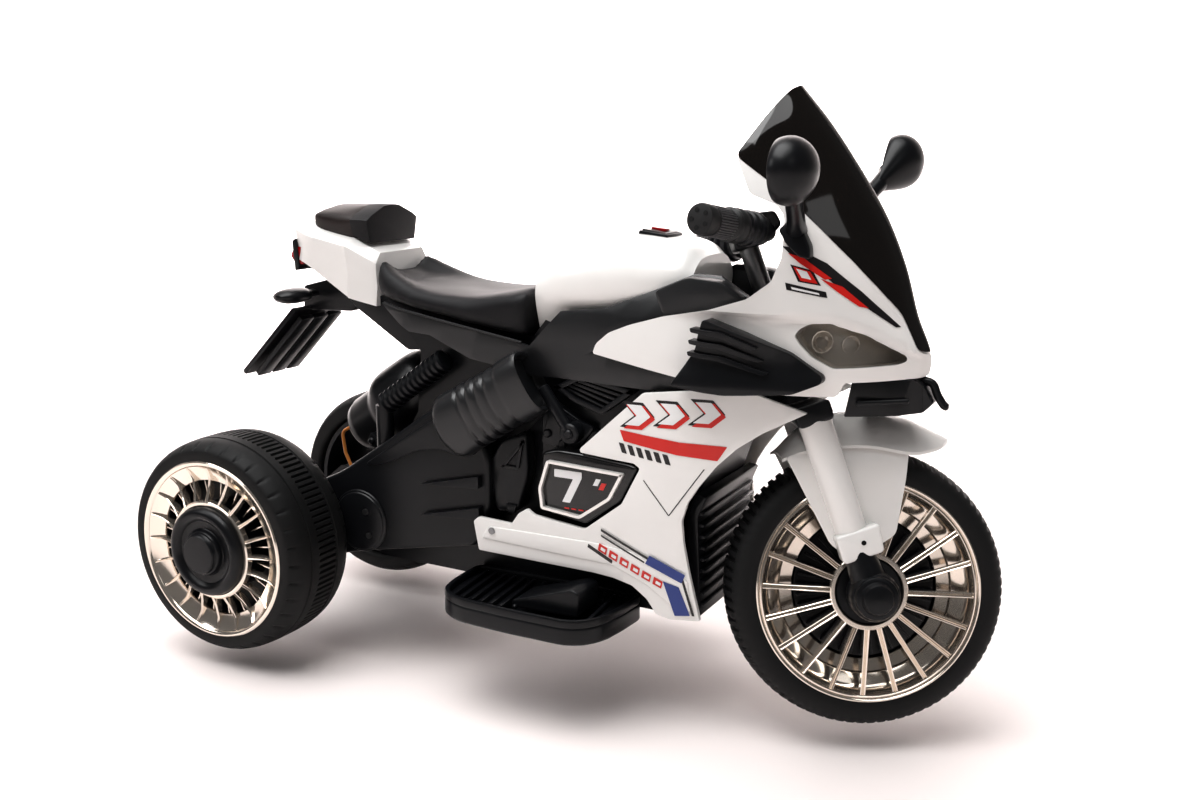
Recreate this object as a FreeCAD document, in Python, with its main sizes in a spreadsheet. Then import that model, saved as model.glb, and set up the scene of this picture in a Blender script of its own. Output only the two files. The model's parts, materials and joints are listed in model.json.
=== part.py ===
import FreeCAD, Part
import math
import os
import Sketcher
from FreeCAD import Placement, Rotation, Vector

# A battery ride-on for small children, shaped like a sport bike, with one steered front wheel
# and two wide rear wheels. Millimetres. X points forward, Y to the rider's left, Z up. The
# origin lies on the floor under the middle of the whole bike. It stands with the fork turned
# to the left, and the fork's pieces are drawn straight ahead about the front axle, then turned.

doc = FreeCAD.newDocument("kids_motorbike")
sheet = doc.addObject("Spreadsheet::Sheet", "Sizes")

# Driving dimensions
SIZES = {
    # running gear
    "wheelbase": 750,
    "steer_rest_angle": 29.2,
    "caster_angle": 21.2,
    "running_clearance": 0.05,
    "seat_gap": 0.3,
    # front wheel
    "front_tyre_radius": 151,
    "front_tyre_half_width": 42,
    "front_tread_half_width": 8,
    "front_crown_half_width": 20,
    "front_crown_drop": 2.5,
    "front_tread_drop": 14,
    "front_rim_radius": 120,
    "front_rim_lip": 8,
    "front_hub_ring_radius": 41.5,
    "front_hub_ring_wall": 5.5,
    "front_drum_radius": 77,
    "front_core_radius": 116,
    "front_axle_radius": 6,
    "front_axle_half_length": 91,
    # rear wheels
    "rear_tyre_radius": 135,
    "rear_tyre_width": 108,
    "rear_wheel_gap": 10,
    "rear_shoulder": 7,
    "rear_rim_radius": 111.5,
    "rear_rim_lip": 8,
    "rear_window_outer": 86,
    "rear_window_inner": 61,
    "rear_hub_disc_radius": 56,
    "rear_hub_cap_radius": 24,
    "rear_hub_reach": 75,
    "rear_core_radius": 103,
    "rear_axle_radius": 5,
    "wheel_wall": 6,
    "lug_depth": 3.5,
    "lug_band": 46,
    "spoke_width": 5,
    "spoke_depth": 4.5,
    # drive
    "gear_module": 1.5,
    "gear_width": 12,
    "gear_centre_gap": 0.35,
    "gear_reach": 22,
    "drive_boss_radius": 14,
    "drive_boss_room": 3,
    "idler_pin_radius": 4,
    "motor_radius": 18,
    "motor_length": 46,
    "motor_shaft_radius": 2.5,
    "gearbox_cap_radius": 40,
    "gearbox_cap_depth": 5,
    # fork and steering
    "fork_leg_offset": 64,
    "fork_leg_radius": 12,
    "fork_foot_radius": 25,
    "fork_foot_inner": 50,
    "fork_foot_outer": 86,
    "axle_cap_radius": 21,
    "axle_cap_end": 98,
    "crown_height": 194,
    "crown_thickness": 18,
    "crown_depth": 40,
    "stem_radius": 11,
    "stem_top": 398,
    "head_bottom": 214,
    "head_length": 112,
    "head_radius": 22,
    "clamp_height": 388,
    "clamp_size": 34,
    "bar_root_half_span": 76,
    "bar_root_ahead": 15,
    "bar_drop": 5,
    "grip_half_span": 170,
    "grip_sweep": 61,
    "grip_length": 82,
    "grip_radius": 15.5,
    "bar_radius": 9,
    "mudguard_gap": 6,
    "mudguard_wall": 4,
    "mudguard_half_width": 52,
    "shroud_wall": 5,
    "shroud_ridge_radius": 17,
    # body
    "tub_half_width": 62,
    "tub_wall": 4,
    "panel_wall": 5,
    "centre_panel_half_width": 89,
    "fairing_half_width": 116,
    "fairing_front_half_width": 88,
    "boss_radius": 7,
    "nose_wall": 4,
    "engine_cover_depth": 20,
    "plate_half_width": 112,
    "plate_frame_wall": 4,
    "louvre_slot": 4,
    "louvre_pitch": 8,
    "arm_depth": 38,
    "arm_wall": 5,
    "axle_plate_wall": 4,
    "duct_depth": 26,
    "duct_groove": 3,
    "duct_rib_pitch": 14,
    "footboard_half_width": 178,
    "footboard_top": 118,
    "footboard_thickness": 20,
    "pedal_length": 76,
    "pedal_width": 48,
    "pedal_height": 30,
    "pedal_pin_radius": 3,
    "pedal_room": 1.5,
    "pedal_travel": 12,
    # seat and tail
    "seat_half_width": 86,
    "pad_half_width": 56,
    "tail_half_width": 66,
    "undertray_half_width": 46,
    "tail_light_half_width": 42,
    "board_half_width": 54,
    "board_thickness": 6,
    "bracket_half_width": 22,
    "signal_radius": 13,
    "signal_reach": 88,
    # small pieces
    "mirror_half_span": 190,
    "mirror_radius": 33,
    "mirror_glass_thickness": 2,
    "canister_radius": 47,
    "damper_radius": 14,
    "damper_rib_depth": 3,
    "battery_length": 90,
    "battery_width": 70,
    "battery_height": 100,
    "board_card_thickness": 2,
    "socket_bore_radius": 3,
    "socket_radius": 8,
    "socket_depth": 16,
    "screw_radius": 4,
    "screw_height": 2,
    "lead_radius": 2.2,
    "dash_height": 6,
    "rocker_length": 20,
    "rocker_width": 12,
    "rocker_pin_radius": 1.5,
}

# Counts
SPOKES = 20
FRONT_LUGS = 84
REAR_LUGS = 72
DUCT_RIBS = 4
DAMPER_RIBS = 13
LOUVRES = 4
OUTPUT_TEETH = 40
IDLER_TEETH = 24
PINION_TEETH = 12


class Measure:
    """A length that knows its value and the sheet formula that it comes from."""

    def __init__(self, value, text=None):
        self.value = float(value)
        self.text = text if text else repr(float(value))

    def join(self, other, sign, value):
        return Measure(value, f"({self.text} {sign} {other.text})")

    def __add__(self, other):
        other = measure(other)
        return self.join(other, "+", self.value + other.value)

    def __sub__(self, other):
        other = measure(other)
        return self.join(other, "-", self.value - other.value)

    def __mul__(self, other):
        other = measure(other)
        return self.join(other, "*", self.value * other.value)

    def __truediv__(self, other):
        other = measure(other)
        return self.join(other, "/", self.value / other.value)

    def __radd__(self, other):
        return measure(other) + self

    def __rsub__(self, other):
        return measure(other) - self

    def __rmul__(self, other):
        return measure(other) * self

    def __neg__(self):
        return Measure(-self.value, f"(-1 * {self.text})")

    def __float__(self):
        return self.value


def measure(value):
    """Takes a number or a Measure and gives a Measure."""
    return value if isinstance(value, Measure) else Measure(value)


class SizeTable:
    """The sheet's cells, read by alias as Measures."""

    def __init__(self):
        self.rows = 0

    def put(self, alias, value):
        self.rows += 1
        sheet.set(f"A{self.rows}", alias)
        sheet.set(f"B{self.rows}", str(value))
        sheet.setAlias(f"B{self.rows}", alias)

    def __getattr__(self, alias):
        return Measure(float(sheet.get(alias)), f"Sizes.{alias}")


S = SizeTable()
for name, number in SIZES.items():
    S.put(name, number)
doc.recompute()

# The steered wheel leans, so its axle stands at the height that lets the tread just touch the
# floor, and its tread's reach sets where the middle of the bike lies.
steer = math.radians(float(S.steer_rest_angle))
caster = math.radians(float(S.caster_angle))
STEER_AXIS = Vector(-math.sin(caster), 0, math.cos(caster))
WHEEL_AXIS = Rotation(STEER_AXIS, math.degrees(steer)).multVec(Vector(0, 1, 0))
TREAD_SECTION = [
    (S.front_tyre_radius, S.front_tread_half_width),
    (S.front_tyre_radius - S.front_crown_drop, S.front_crown_half_width),
    (S.front_tyre_radius - S.front_tread_drop, S.front_tyre_half_width),
]


def tread_reach(share):
    """How far the leaning tyre reaches along a direction with that share of the wheel axis."""
    across = math.sqrt(1 - share**2)
    return max(float(r) * across + float(half) * abs(share) for r, half in TREAD_SECTION)


front_reach = tread_reach(WHEEL_AXIS.x)
S.put("rear_axle_x", (float(S.rear_tyre_radius) - front_reach - float(S.wheelbase)) / 2)
S.put("rear_axle_z", float(S.rear_tyre_radius))
S.put("front_axle_z", tread_reach(WHEEL_AXIS.z))
doc.recompute()
GEAR_FACE = S.tub_half_width + S.gear_reach
ARM_OUTER = S.tub_half_width + S.arm_depth
REAR_TRACK = ARM_OUTER + S.rear_wheel_gap + S.rear_tyre_width / 2
REAR_X = S.rear_axle_x
REAR_Z = S.rear_axle_z
FRONT_X = S.rear_axle_x + S.wheelbase
FRONT_Z = S.front_axle_z
FRONT_AXLE = Vector(float(FRONT_X), 0, float(FRONT_Z))
STEERED = Placement(FRONT_AXLE, Rotation(STEER_AXIS, math.degrees(steer)))
RIGHT = -1
LEFT = 1
SIDES = (("right", RIGHT), ("left", LEFT))
ZERO = Measure(0)
PARTS = []


def rear(along, up):
    """A side-view point placed from the rear axle."""
    return (REAR_X + along, REAR_Z + up)


def front(along, up):
    """A side-view point placed from the front axle, straight ahead."""
    return (FRONT_X + along, FRONT_Z + up)


def on_stem(distance):
    """The point on the steering axis at that distance above the front axle, fork frame."""
    return STEER_AXIS * float(distance)


def keep(label, thing, placement=None):
    """Names a finished sub-part and puts it on the list that is written."""
    thing.Label = label
    if placement:
        thing.Placement = placement
    PARTS.append(thing)
    return thing


def bind(thing, path, length):
    """Ties a property of a document object to the sheet."""
    thing.setExpression(path, measure(length).text)


def new_body(name):
    """An empty body."""
    return doc.addObject("PartDesign::Body", name)


def sketch_on(body, role, offset=ZERO):
    """A sketch on one of the body's own origin planes, moved along its normal."""
    plane = next(item for item in body.Origin.OriginFeatures if item.Role == role)
    sketch = body.newObject("Sketcher::SketchObject", f"{body.Name}_sketch")
    sketch.AttachmentSupport = [(plane, "")]
    sketch.MapMode = "FlatFace"
    bind(sketch, "AttachmentOffset.Base.z", offset)
    return sketch


def pin_point(sketch, index, which, across, up):
    """Holds a sketch point at its distances from the sketch's origin."""
    for kind, length, axis in (("DistanceX", across, -2), ("DistanceY", up, -1)):
        if abs(float(length)) < 1e-6:
            sketch.addConstraint(Sketcher.Constraint("PointOnObject", index, which, axis))
            continue
        row = sketch.addConstraint(Sketcher.Constraint(kind, -1, 1, index, which, float(length)))
        bind(sketch, f"Constraints[{row}]", length)


def draw_outline(sketch, corners):
    """Draws a closed outline of straight edges through the corners."""
    points = [(measure(across), measure(up)) for across, up in corners]
    first = sketch.GeometryCount
    for here, there in zip(points, points[1:] + points[:1]):
        start = Vector(float(here[0]), float(here[1]), 0)
        end = Vector(float(there[0]), float(there[1]), 0)
        sketch.addGeometry(Part.LineSegment(start, end), False)
    for step, point in enumerate(points):
        edge = first + step
        following = first + (step + 1) % len(points)
        sketch.addConstraint(Sketcher.Constraint("Coincident", edge, 2, following, 1))
        pin_point(sketch, edge, 1, *point)


def pad(body, sketch, length):
    """Thickens a sketch along its normal."""
    feature = body.newObject("PartDesign::Pad", f"{body.Name}_pad")
    feature.Profile = sketch
    bind(feature, "Length", length)
    sketch.Visibility = False
    return feature


def side_prism(name, corners, inner, outer, side=RIGHT):
    """A prism with a side-view outline, from one distance off the centre plane to another."""
    body = new_body(name)
    start = measure(inner) if side == RIGHT else -measure(outer)
    sketch = sketch_on(body, "XZ_Plane", start)
    draw_outline(sketch, corners)
    pad(body, sketch, measure(outer) - measure(inner))
    return body


def wide_prism(name, corners, half_width):
    """A side-view prism that lies evenly on both sides of the centre plane."""
    return side_prism(name, corners, -measure(half_width), half_width)


def plan_prism(name, corners, low, high):
    """A prism with a plan-view outline, from one height to another."""
    body = new_body(name)
    sketch = sketch_on(body, "XY_Plane", low)
    draw_outline(sketch, corners)
    pad(body, sketch, measure(high) - measure(low))
    return body


def turned(name, section):
    """A body of revolution about the Y axis, from a section of radius and axial place."""
    body = new_body(name)
    sketch = sketch_on(body, "XY_Plane")
    draw_outline(sketch, section)
    feature = body.newObject("PartDesign::Revolution", f"{name}_revolution")
    feature.Profile = sketch
    feature.ReferenceAxis = (sketch, ["V_Axis"])
    feature.Angle = 360
    sketch.Visibility = False
    return body


def block(name, spans):
    """A box between low and high places on X, Y and Z."""
    solid = doc.addObject("Part::Box", name)
    for side, axis, (low, high) in zip(("Length", "Width", "Height"), "xyz", spans):
        bind(solid, side, measure(high) - measure(low))
        bind(solid, f"Placement.Base.{axis}", low)
    return solid


AXIS_TURNS = {
    "x": Rotation(Vector(0, 1, 0), 90),
    "y": Rotation(Vector(1, 0, 0), -90),
    "z": Rotation(),
}


def rod(name, radius, start, length, axis="y"):
    """A cylinder along an axis of the frame."""
    solid = doc.addObject("Part::Cylinder", name)
    solid.Placement.Rotation = AXIS_TURNS[axis]
    bind(solid, "Radius", radius)
    bind(solid, "Height", length)
    for letter, place in zip("xyz", start):
        bind(solid, f"Placement.Base.{letter}", place)
    return solid


def slant_rod(name, radius, start, end, end_radius=None):
    """A cylinder or cone between two points."""
    way = end - start
    if end_radius is None:
        solid = doc.addObject("Part::Cylinder", name)
        bind(solid, "Radius", radius)
    else:
        solid = doc.addObject("Part::Cone", name)
        bind(solid, "Radius1", radius)
        bind(solid, "Radius2", end_radius)
    solid.Height = way.Length
    solid.Placement = Placement(start, Rotation(Vector(0, 0, 1), way))
    return solid


def fuse(name, things):
    """One solid from several."""
    result = doc.addObject("Part::MultiFuse", name)
    result.Shapes = things
    return result


def cut(name, base, tools):
    """A solid less its tools."""
    tool = tools[0] if len(tools) == 1 else fuse(f"{name}_tools", tools)
    result = doc.addObject("Part::Cut", name)
    result.Base = base
    result.Tool = tool
    return result


def common(name, things):
    """What several solids share."""
    result = doc.addObject("Part::MultiCommon", name)
    result.Shapes = things
    return result


def group(name, things):
    """Separate solids that are one sub-part."""
    result = doc.addObject("Part::Compound", name)
    result.Links = things
    return result


def shaped(name, shape):
    """A free form."""
    thing = doc.addObject("Part::Feature", name)
    thing.Shape = shape
    return thing


def loft(wires, ruled=True):
    """A closed solid through sections."""
    return Part.makeLoft(wires, True, ruled)


def polygon(points):
    """A closed wire through points."""
    return Part.makePolygon(points + points[:1])


def mirrored(points):
    """Half a section on the left, completed on the right."""
    return points + [Vector(p.x, -p.y, p.z) for p in reversed(points)]


# Toothed ring, also used for tread lugs
def toothed_ring(teeth, tip, root, bore, low, high, tip_share=0.4, root_share=0.62, phase=0.0):
    """A ring about Y with straight-sided teeth; a tooth lies at the phase angle from X to Z."""
    pitch = 2 * math.pi / teeth
    points = []
    for tooth in range(teeth):
        middle = phase + tooth * pitch
        for radius, share in ((root, -root_share), (tip, -tip_share), (tip, tip_share), (root, root_share)):
            angle = middle + share * pitch / 2
            points.append(Vector(radius * math.cos(angle), low, radius * math.sin(angle)))
    rim = Part.Face(polygon(points)).extrude(Vector(0, high - low, 0))
    hole = Part.makeCylinder(bore, high - low, Vector(0, low, 0), Vector(0, 1, 0))
    return rim.cut(hole)


# Wheels
def front_wheel():
    """Tyre, core and the two chromed rims of the steered wheel, straight ahead about its axle."""
    tyre_radius = S.front_tyre_radius
    half = S.front_tyre_half_width
    tread = S.front_tread_half_width
    core = S.front_core_radius
    shoulder = tyre_radius - S.front_tread_drop
    lip = S.front_rim_lip
    crown = S.front_crown_half_width
    section = [
        (core, -half + lip),
        (core + lip, -half),
        (shoulder, -half),
        (tyre_radius - S.front_crown_drop, -crown),
        (tyre_radius, -tread),
        (tyre_radius, tread),
        (tyre_radius - S.front_crown_drop, crown),
        (shoulder, half),
        (core + lip, half),
        (core, half - lip),
    ]
    lugs = shaped("front_lug_ring", toothed_ring(
        FRONT_LUGS, float(tyre_radius + S.lug_depth), float(tyre_radius - S.lug_depth), float(core) / 2,
        -float(half) - 1, float(half) + 1))
    keep("front_tyre", common("front_tyre_solid", [turned("front_tyre_form", section), lugs]), STEERED)
    bore = S.front_axle_radius + S.running_clearance
    wall = S.wheel_wall
    ring_inner = S.front_hub_ring_radius - S.front_hub_ring_wall
    boss_end = half + S.spoke_depth
    web = wall / 2
    core_section = [
        (bore, -boss_end),
        (ring_inner, -boss_end),
        (ring_inner, -wall * 3),
        (S.front_drum_radius, -wall * 2),
        (S.front_drum_radius, -web),
        (core - wall, -web),
        (core - wall, -half + lip),
        (core, -half + lip),
        (core, half - lip),
        (core - wall, half - lip),
        (core - wall, web),
        (S.front_drum_radius, web),
        (S.front_drum_radius, wall * 2),
        (ring_inner, wall * 3),
        (ring_inner, boss_end),
        (bore, boss_end),
    ]
    keep("front_hub", turned("front_hub_solid", core_section), STEERED)
    rims = [front_rim("outer_rim", RIGHT), front_rim("inner_rim", LEFT)]
    keep("front_rims", group("front_rims_pair", rims), STEERED)


def front_rim(name, side):
    """One chromed rim: a lip on the tyre, a dish behind, spokes and a hub ring."""
    half = S.front_tyre_half_width
    lip = S.front_rim_lip
    outer = S.front_rim_radius
    inside = S.front_core_radius - S.wheel_wall
    band = inside - lip
    dish = S.front_drum_radius + 1
    depth = S.wheel_wall * 3
    face = half + S.mirror_glass_thickness
    ring = S.front_hub_ring_radius
    ring_inner = ring - S.front_hub_ring_wall
    section = [
        (outer, half),
        (outer, face),
        (band, face),
        (band - 1, depth + lip),
        (dish, depth),
        (dish, depth - S.mirror_glass_thickness),
        (inside, depth + lip / 2),
        (inside, half - lip),
        (inside, half),
    ]
    place = Placement(Vector(), Rotation(Vector(1, 0, 0), 180)) if side == RIGHT else Placement()
    hoop = turned(f"{name}_hoop", section)
    hub_ring = turned(f"{name}_hub_ring", [
        (ring_inner, half),
        (ring, half),
        (ring, half + S.spoke_depth),
        (ring_inner, half + S.spoke_depth),
    ])
    spokes = []
    for step in range(SPOKES):
        spoke = Part.makeBox(
            float(band - ring) + float(lip), float(S.spoke_width), float(S.spoke_depth),
            Vector(float(ring) - 1, -float(S.spoke_width) / 2, 0))
        spoke.rotate(Vector(), Vector(1, 0, 0), -90)
        spoke.translate(Vector(0, float(face) - float(S.spoke_depth), 0))
        spoke.rotate(Vector(), Vector(0, 1, 0), step * 360 / SPOKES)
        spokes.append(spoke)
    spider = shaped(f"{name}_spokes", Part.makeCompound(spokes))
    whole = fuse(name, [hoop, hub_ring, spider])
    whole.Placement = place
    return whole


def rear_wheel(hand, side):
    """Tyre, trim and core of one rear wheel, drawn with its outer side to the left."""
    turn = Rotation(Vector(1, 0, 0), 180) if side == RIGHT else Rotation()
    place = Placement(Vector(float(REAR_X), side * float(REAR_TRACK), float(REAR_Z)), turn)
    half = S.rear_tyre_width / 2
    radius = S.rear_tyre_radius
    core = S.rear_core_radius
    shoulder = S.rear_shoulder
    lip = S.rear_rim_lip
    section = [
        (core, -half + shoulder),
        (core + shoulder, -half),
        (radius - shoulder, -half),
        (radius, -half + shoulder),
        (radius, half - shoulder * 2),
        (radius - shoulder, half),
        (core + lip, half),
        (core, half - lip),
    ]
    band = S.lug_band / 2
    channel = [
        (radius - S.lug_depth, -band),
        (radius + lip, -band),
        (radius + lip, band),
        (radius - S.lug_depth, band),
    ]
    bare = cut(f"{hand}_rear_tyre_bare", turned(f"{hand}_rear_tyre_form", section),
               [turned(f"{hand}_rear_tyre_channel", channel)])
    lugs = shaped(f"{hand}_rear_lug_ring", toothed_ring(
        REAR_LUGS, float(radius), float(radius - S.lug_depth), float(core + lip), -float(band), float(band)))
    keep(f"{hand}_rear_tyre", fuse(f"{hand}_rear_tyre_solid", [bare, lugs]), place)
    wall = S.wheel_wall
    bore = S.rear_axle_radius + S.running_clearance
    boss = S.drive_boss_radius
    boss_end = GEAR_FACE - S.gear_width - REAR_TRACK
    cap = S.rear_hub_reach
    disc = S.rear_hub_disc_radius
    end = half + wall
    core_section = [
        (bore, boss_end),
        (boss, boss_end),
        (boss, -half + shoulder),
        (boss + wall, -half + shoulder),
        (boss + wall, wall),
        (core - wall, wall),
        (core - wall, -half + shoulder),
        (core, -half + shoulder),
        (core, half - lip),
        (core - wall, half - lip),
        (core - wall, wall * 2),
        (disc, wall * 2),
        (disc, end),
        (disc - wall, end + wall),
        (S.rear_hub_cap_radius + wall, end + wall),
        (S.rear_hub_cap_radius + wall, end + wall * 1.5),
        (S.rear_hub_cap_radius, end + wall * 1.5),
        (S.rear_hub_cap_radius - wall / 2, cap),
        (ZERO, cap),
        (ZERO, cap - wall),
        (bore, cap - wall),
    ]
    keep(f"{hand}_rear_hub", turned(f"{hand}_rear_hub_solid", core_section), place)
    inside = core - wall
    trim = turned(f"{hand}_rear_trim", [
        (S.rear_rim_radius, half),
        (S.rear_rim_radius, half + S.spoke_depth / 2),
        (inside, half + S.spoke_depth / 2),
        (S.rear_window_outer, half - S.spoke_depth),
        (disc, half),
        (disc, half - S.spoke_depth),
        (S.rear_window_outer, half - lip - 1),
        (inside, half - S.spoke_depth),
        (inside, half),
    ])
    windows = []
    inner_radius = float(S.rear_window_inner)
    outer_radius = float(S.rear_window_outer)
    inner_half = inner_radius * math.pi / SPOKES - float(S.spoke_width) / 2
    outer_half = outer_radius * math.pi / SPOKES - float(S.spoke_width) / 2
    deep = float(S.rear_tyre_width)
    for step in range(SPOKES):
        window = Part.Face(polygon([
            Vector(inner_radius, 0, -inner_half),
            Vector(outer_radius, 0, -outer_half),
            Vector(outer_radius, 0, outer_half),
            Vector(inner_radius, 0, inner_half),
        ])).extrude(Vector(0, deep, 0))
        window.rotate(Vector(), Vector(0, 1, 0), step * 360 / SPOKES)
        windows.append(window)
    openings = shaped(f"{hand}_rear_windows", Part.makeCompound(windows))
    keep(f"{hand}_rear_rim", cut(f"{hand}_rear_rim_solid", trim, [openings]), place)


# Drive from the motor to the right rear wheel
def gear_radius(teeth):
    """Pitch radius of a gear."""
    return float(S.gear_module) * teeth / 2


def gear(name, teeth, bore, phase):
    """A spur gear about Y, its face at the gears' common place."""
    pitch = gear_radius(teeth)
    addendum = 0.8 * float(S.gear_module)
    low = -float(GEAR_FACE)
    shape = toothed_ring(teeth, pitch + addendum, pitch - 1.5 * addendum, bore, low,
                         low + float(S.gear_width), 0.26, 0.62, phase)
    return shaped(name, shape)


IDLER_ANGLE = math.radians(6)
PINION_ANGLE = math.radians(10)
OUTPUT_TO_IDLER = gear_radius(OUTPUT_TEETH) + gear_radius(IDLER_TEETH) + float(S.gear_centre_gap)
IDLER_TO_PINION = gear_radius(IDLER_TEETH) + gear_radius(PINION_TEETH) + float(S.gear_centre_gap)
IDLER_SPOT = rear(OUTPUT_TO_IDLER * math.cos(IDLER_ANGLE), OUTPUT_TO_IDLER * math.sin(IDLER_ANGLE))
PINION_SPOT = (
    IDLER_SPOT[0] + IDLER_TO_PINION * math.cos(PINION_ANGLE),
    IDLER_SPOT[1] + IDLER_TO_PINION * math.sin(PINION_ANGLE),
)


def mesh_phase(driver_teeth, driver_phase, teeth, direction):
    """The phase that puts a gap of a gear on the driver's teeth, where it lies that way from it."""
    driver_pitch = 2 * math.pi / driver_teeth
    offset = (driver_phase - direction) / driver_pitch
    return direction + math.pi - (offset + 0.5) * 2 * math.pi / teeth


def drive():
    """Motor, gears, and the plates that close both arms and hold the axle."""
    clear = float(S.running_clearance)
    output_phase = IDLER_ANGLE
    idler_phase = mesh_phase(OUTPUT_TEETH, output_phase, IDLER_TEETH, IDLER_ANGLE)
    pinion_phase = mesh_phase(IDLER_TEETH, idler_phase, PINION_TEETH, PINION_ANGLE)
    output = gear("output_gear_solid", OUTPUT_TEETH, float(S.drive_boss_radius) + clear, output_phase)
    keep("output_gear", output, Placement(Vector(float(REAR_X), 0, float(REAR_Z)), Rotation()))
    idler = gear("idler_gear_solid", IDLER_TEETH, float(S.idler_pin_radius) + clear, idler_phase)
    keep("idler_gear", idler, Placement(Vector(float(IDLER_SPOT[0]), 0, float(IDLER_SPOT[1])), Rotation()))
    shaft_radius = float(S.motor_shaft_radius)
    plate_inner = S.tub_half_width - S.axle_plate_wall
    toothed = gear("pinion_teeth", PINION_TEETH, shaft_radius / 2, pinion_phase)
    shaft = rod("pinion_shaft", S.motor_shaft_radius, (ZERO, -GEAR_FACE, ZERO),
                GEAR_FACE - plate_inner + S.motor_length / 2)
    pinion_place = Placement(Vector(float(PINION_SPOT[0]), 0, float(PINION_SPOT[1])), Rotation())
    keep("motor_pinion", fuse("motor_pinion_solid", [toothed, shaft]), pinion_place)
    spot_x, spot_z = PINION_SPOT
    can = rod("motor_can", S.motor_radius, (spot_x, -plate_inner, spot_z), S.motor_length)
    socket = rod("motor_bore", S.motor_shaft_radius + S.running_clearance, (spot_x, -plate_inner, spot_z),
                 S.motor_length / 2 + 1)
    keep("drive_motor", cut("drive_motor_solid", can, [socket]))
    for hand, side in SIDES:
        plate = side_prism(f"{hand}_axle_plate_form", AXLE_PLATE, plate_inner, S.tub_half_width, side)
        holes = [rod(f"{hand}_plate_axle_hole", S.rear_axle_radius + S.running_clearance,
                     (REAR_X, -S.tub_half_width, REAR_Z), S.tub_half_width * 2)]
        label = "left_axle_plate"
        if side == RIGHT:
            label = "gearbox_plate"
            holes.append(rod("plate_shaft_hole", S.motor_shaft_radius + S.pedal_room,
                             (spot_x, -S.tub_half_width, spot_z), S.tub_half_width))
            pin = rod("idler_pin", S.idler_pin_radius, (IDLER_SPOT[0], -GEAR_FACE - 2, IDLER_SPOT[1]),
                      GEAR_FACE + 2 - plate_inner)
            plate = fuse("gearbox_plate_with_pin", [plate, pin])
        keep(label, cut(f"{label}_solid", plate, holes))
    keep("rear_axle", rod("rear_axle_rod", S.rear_axle_radius,
                          (REAR_X, -AXLE_HALF, REAR_Z), AXLE_HALF * 2))


AXLE_HALF = REAR_TRACK + S.rear_hub_reach - S.wheel_wall - 1
AXLE_PLATE = [
    rear(-42, 22), rear(-42, -24), rear(-20, -42), rear(40, -42), rear(118, -20), rear(118, 86),
    rear(104, 80), rear(20, 42), rear(-20, 40),
]

# Main moulding
SEAT_REAR = rear(165, 301)
SEAT_FRONT = rear(371, 270)
TANK_REAR = rear(395, 300)
TANK_FRONT = front(-190, 300)
TUB_OUTLINE = [
    rear(140, -30), rear(125, 30), rear(205, 165), rear(212, 240), SEAT_REAR, SEAT_FRONT,
    TANK_REAR, TANK_FRONT, front(-138, 296), front(-85, 204), front(-138, 178), front(-165, 100),
    front(-175, 75), front(-170, -40), front(-185, -50),
]


def chassis():
    """The hollow tub, open under the seat and below, with the steering head."""
    tub = wide_prism("tub_form", TUB_OUTLINE, S.tub_half_width)
    inside = S.tub_half_width - S.tub_wall
    head = slant_rod("steering_head", S.head_radius, FRONT_AXLE + on_stem(S.head_bottom),
                     FRONT_AXLE + on_stem(S.head_bottom + S.head_length))
    top = REAR_Z + 330
    bay = block("battery_bay", [(REAR_X + 226, REAR_X + 364), (-inside, inside), (BAY_FLOOR, top)])
    rib = S.tub_wall / 2
    cavities = []
    for span in ((-inside, -rib), (rib, inside)):
        cavities.append(block("rear_cavity", [
            (REAR_X + 214, REAR_X + 364), span, (REAR_Z - 80, REAR_Z + 150)]))
        cavities.append(block("tank_cavity", [
            (REAR_X + 370, FRONT_X - 215), span, (REAR_Z - 80, REAR_Z + 285)]))
    bore = slant_rod("head_bore", S.stem_radius + S.running_clearance, FRONT_AXLE + on_stem(S.head_bottom - 40),
                     FRONT_AXLE + on_stem(S.stem_top))
    socket_hole = rod("socket_hole", S.socket_radius, (SOCKET_SPOT[0], ZERO, SOCKET_SPOT[1]),
                      S.tub_half_width + 1)
    keep("chassis_tub", cut("chassis_tub_solid", fuse("tub_and_head", [tub, head]),
                            cavities + [bay, bore, socket_hole]))
    half_width = S.battery_width / 2
    keep("battery", block("battery_case", [
        (REAR_X + 256, REAR_X + 256 + S.battery_length), (-half_width, half_width),
        (BAY_FLOOR, BAY_FLOOR + S.battery_height)]))
    keep("control_board", block("control_card", [
        (REAR_X + 236, REAR_X + 236 + S.board_card_thickness), (-half_width, half_width),
        (BAY_FLOOR, BAY_FLOOR + S.battery_height * 0.7)]))
    flange = rod("socket_flange", S.socket_radius + 3, (SOCKET_SPOT[0], S.tub_half_width, SOCKET_SPOT[1]), 2)
    barrel = rod("socket_barrel", S.socket_radius - S.running_clearance,
                 (SOCKET_SPOT[0], S.tub_half_width - S.socket_depth - 2, SOCKET_SPOT[1]), S.socket_depth + 3)
    bore = rod("socket_bore", S.socket_bore_radius,
               (SOCKET_SPOT[0], S.tub_half_width + 2 - S.socket_depth, SOCKET_SPOT[1]), S.socket_depth)
    keep("charge_socket", cut("charge_socket_solid", fuse("socket_body", [flange, barrel]), [bore]))


BAY_FLOOR = REAR_Z + 165
SOCKET_SPOT = rear(247, 190)

# Rear arms
ARM_OUTLINE = [
    rear(-42, 22), rear(-42, -24), rear(-20, -42), rear(40, -42), rear(136, -16), rear(317, 20),
    rear(331, 64), rear(331, 133), rear(282, 200), rear(110, 85), rear(20, 44), rear(-20, 42),
]
ARM_HOLLOW = [
    rear(-36, 19), rear(-36, -21), rear(-17, -36), rear(39, -36), rear(135, -9), rear(311, 27),
    rear(324, 66), rear(324, 130), rear(281, 189), rear(112, 77), rear(22, 38), rear(-18, 36),
]
CAP_SPOT = rear(140, 26)


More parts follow.
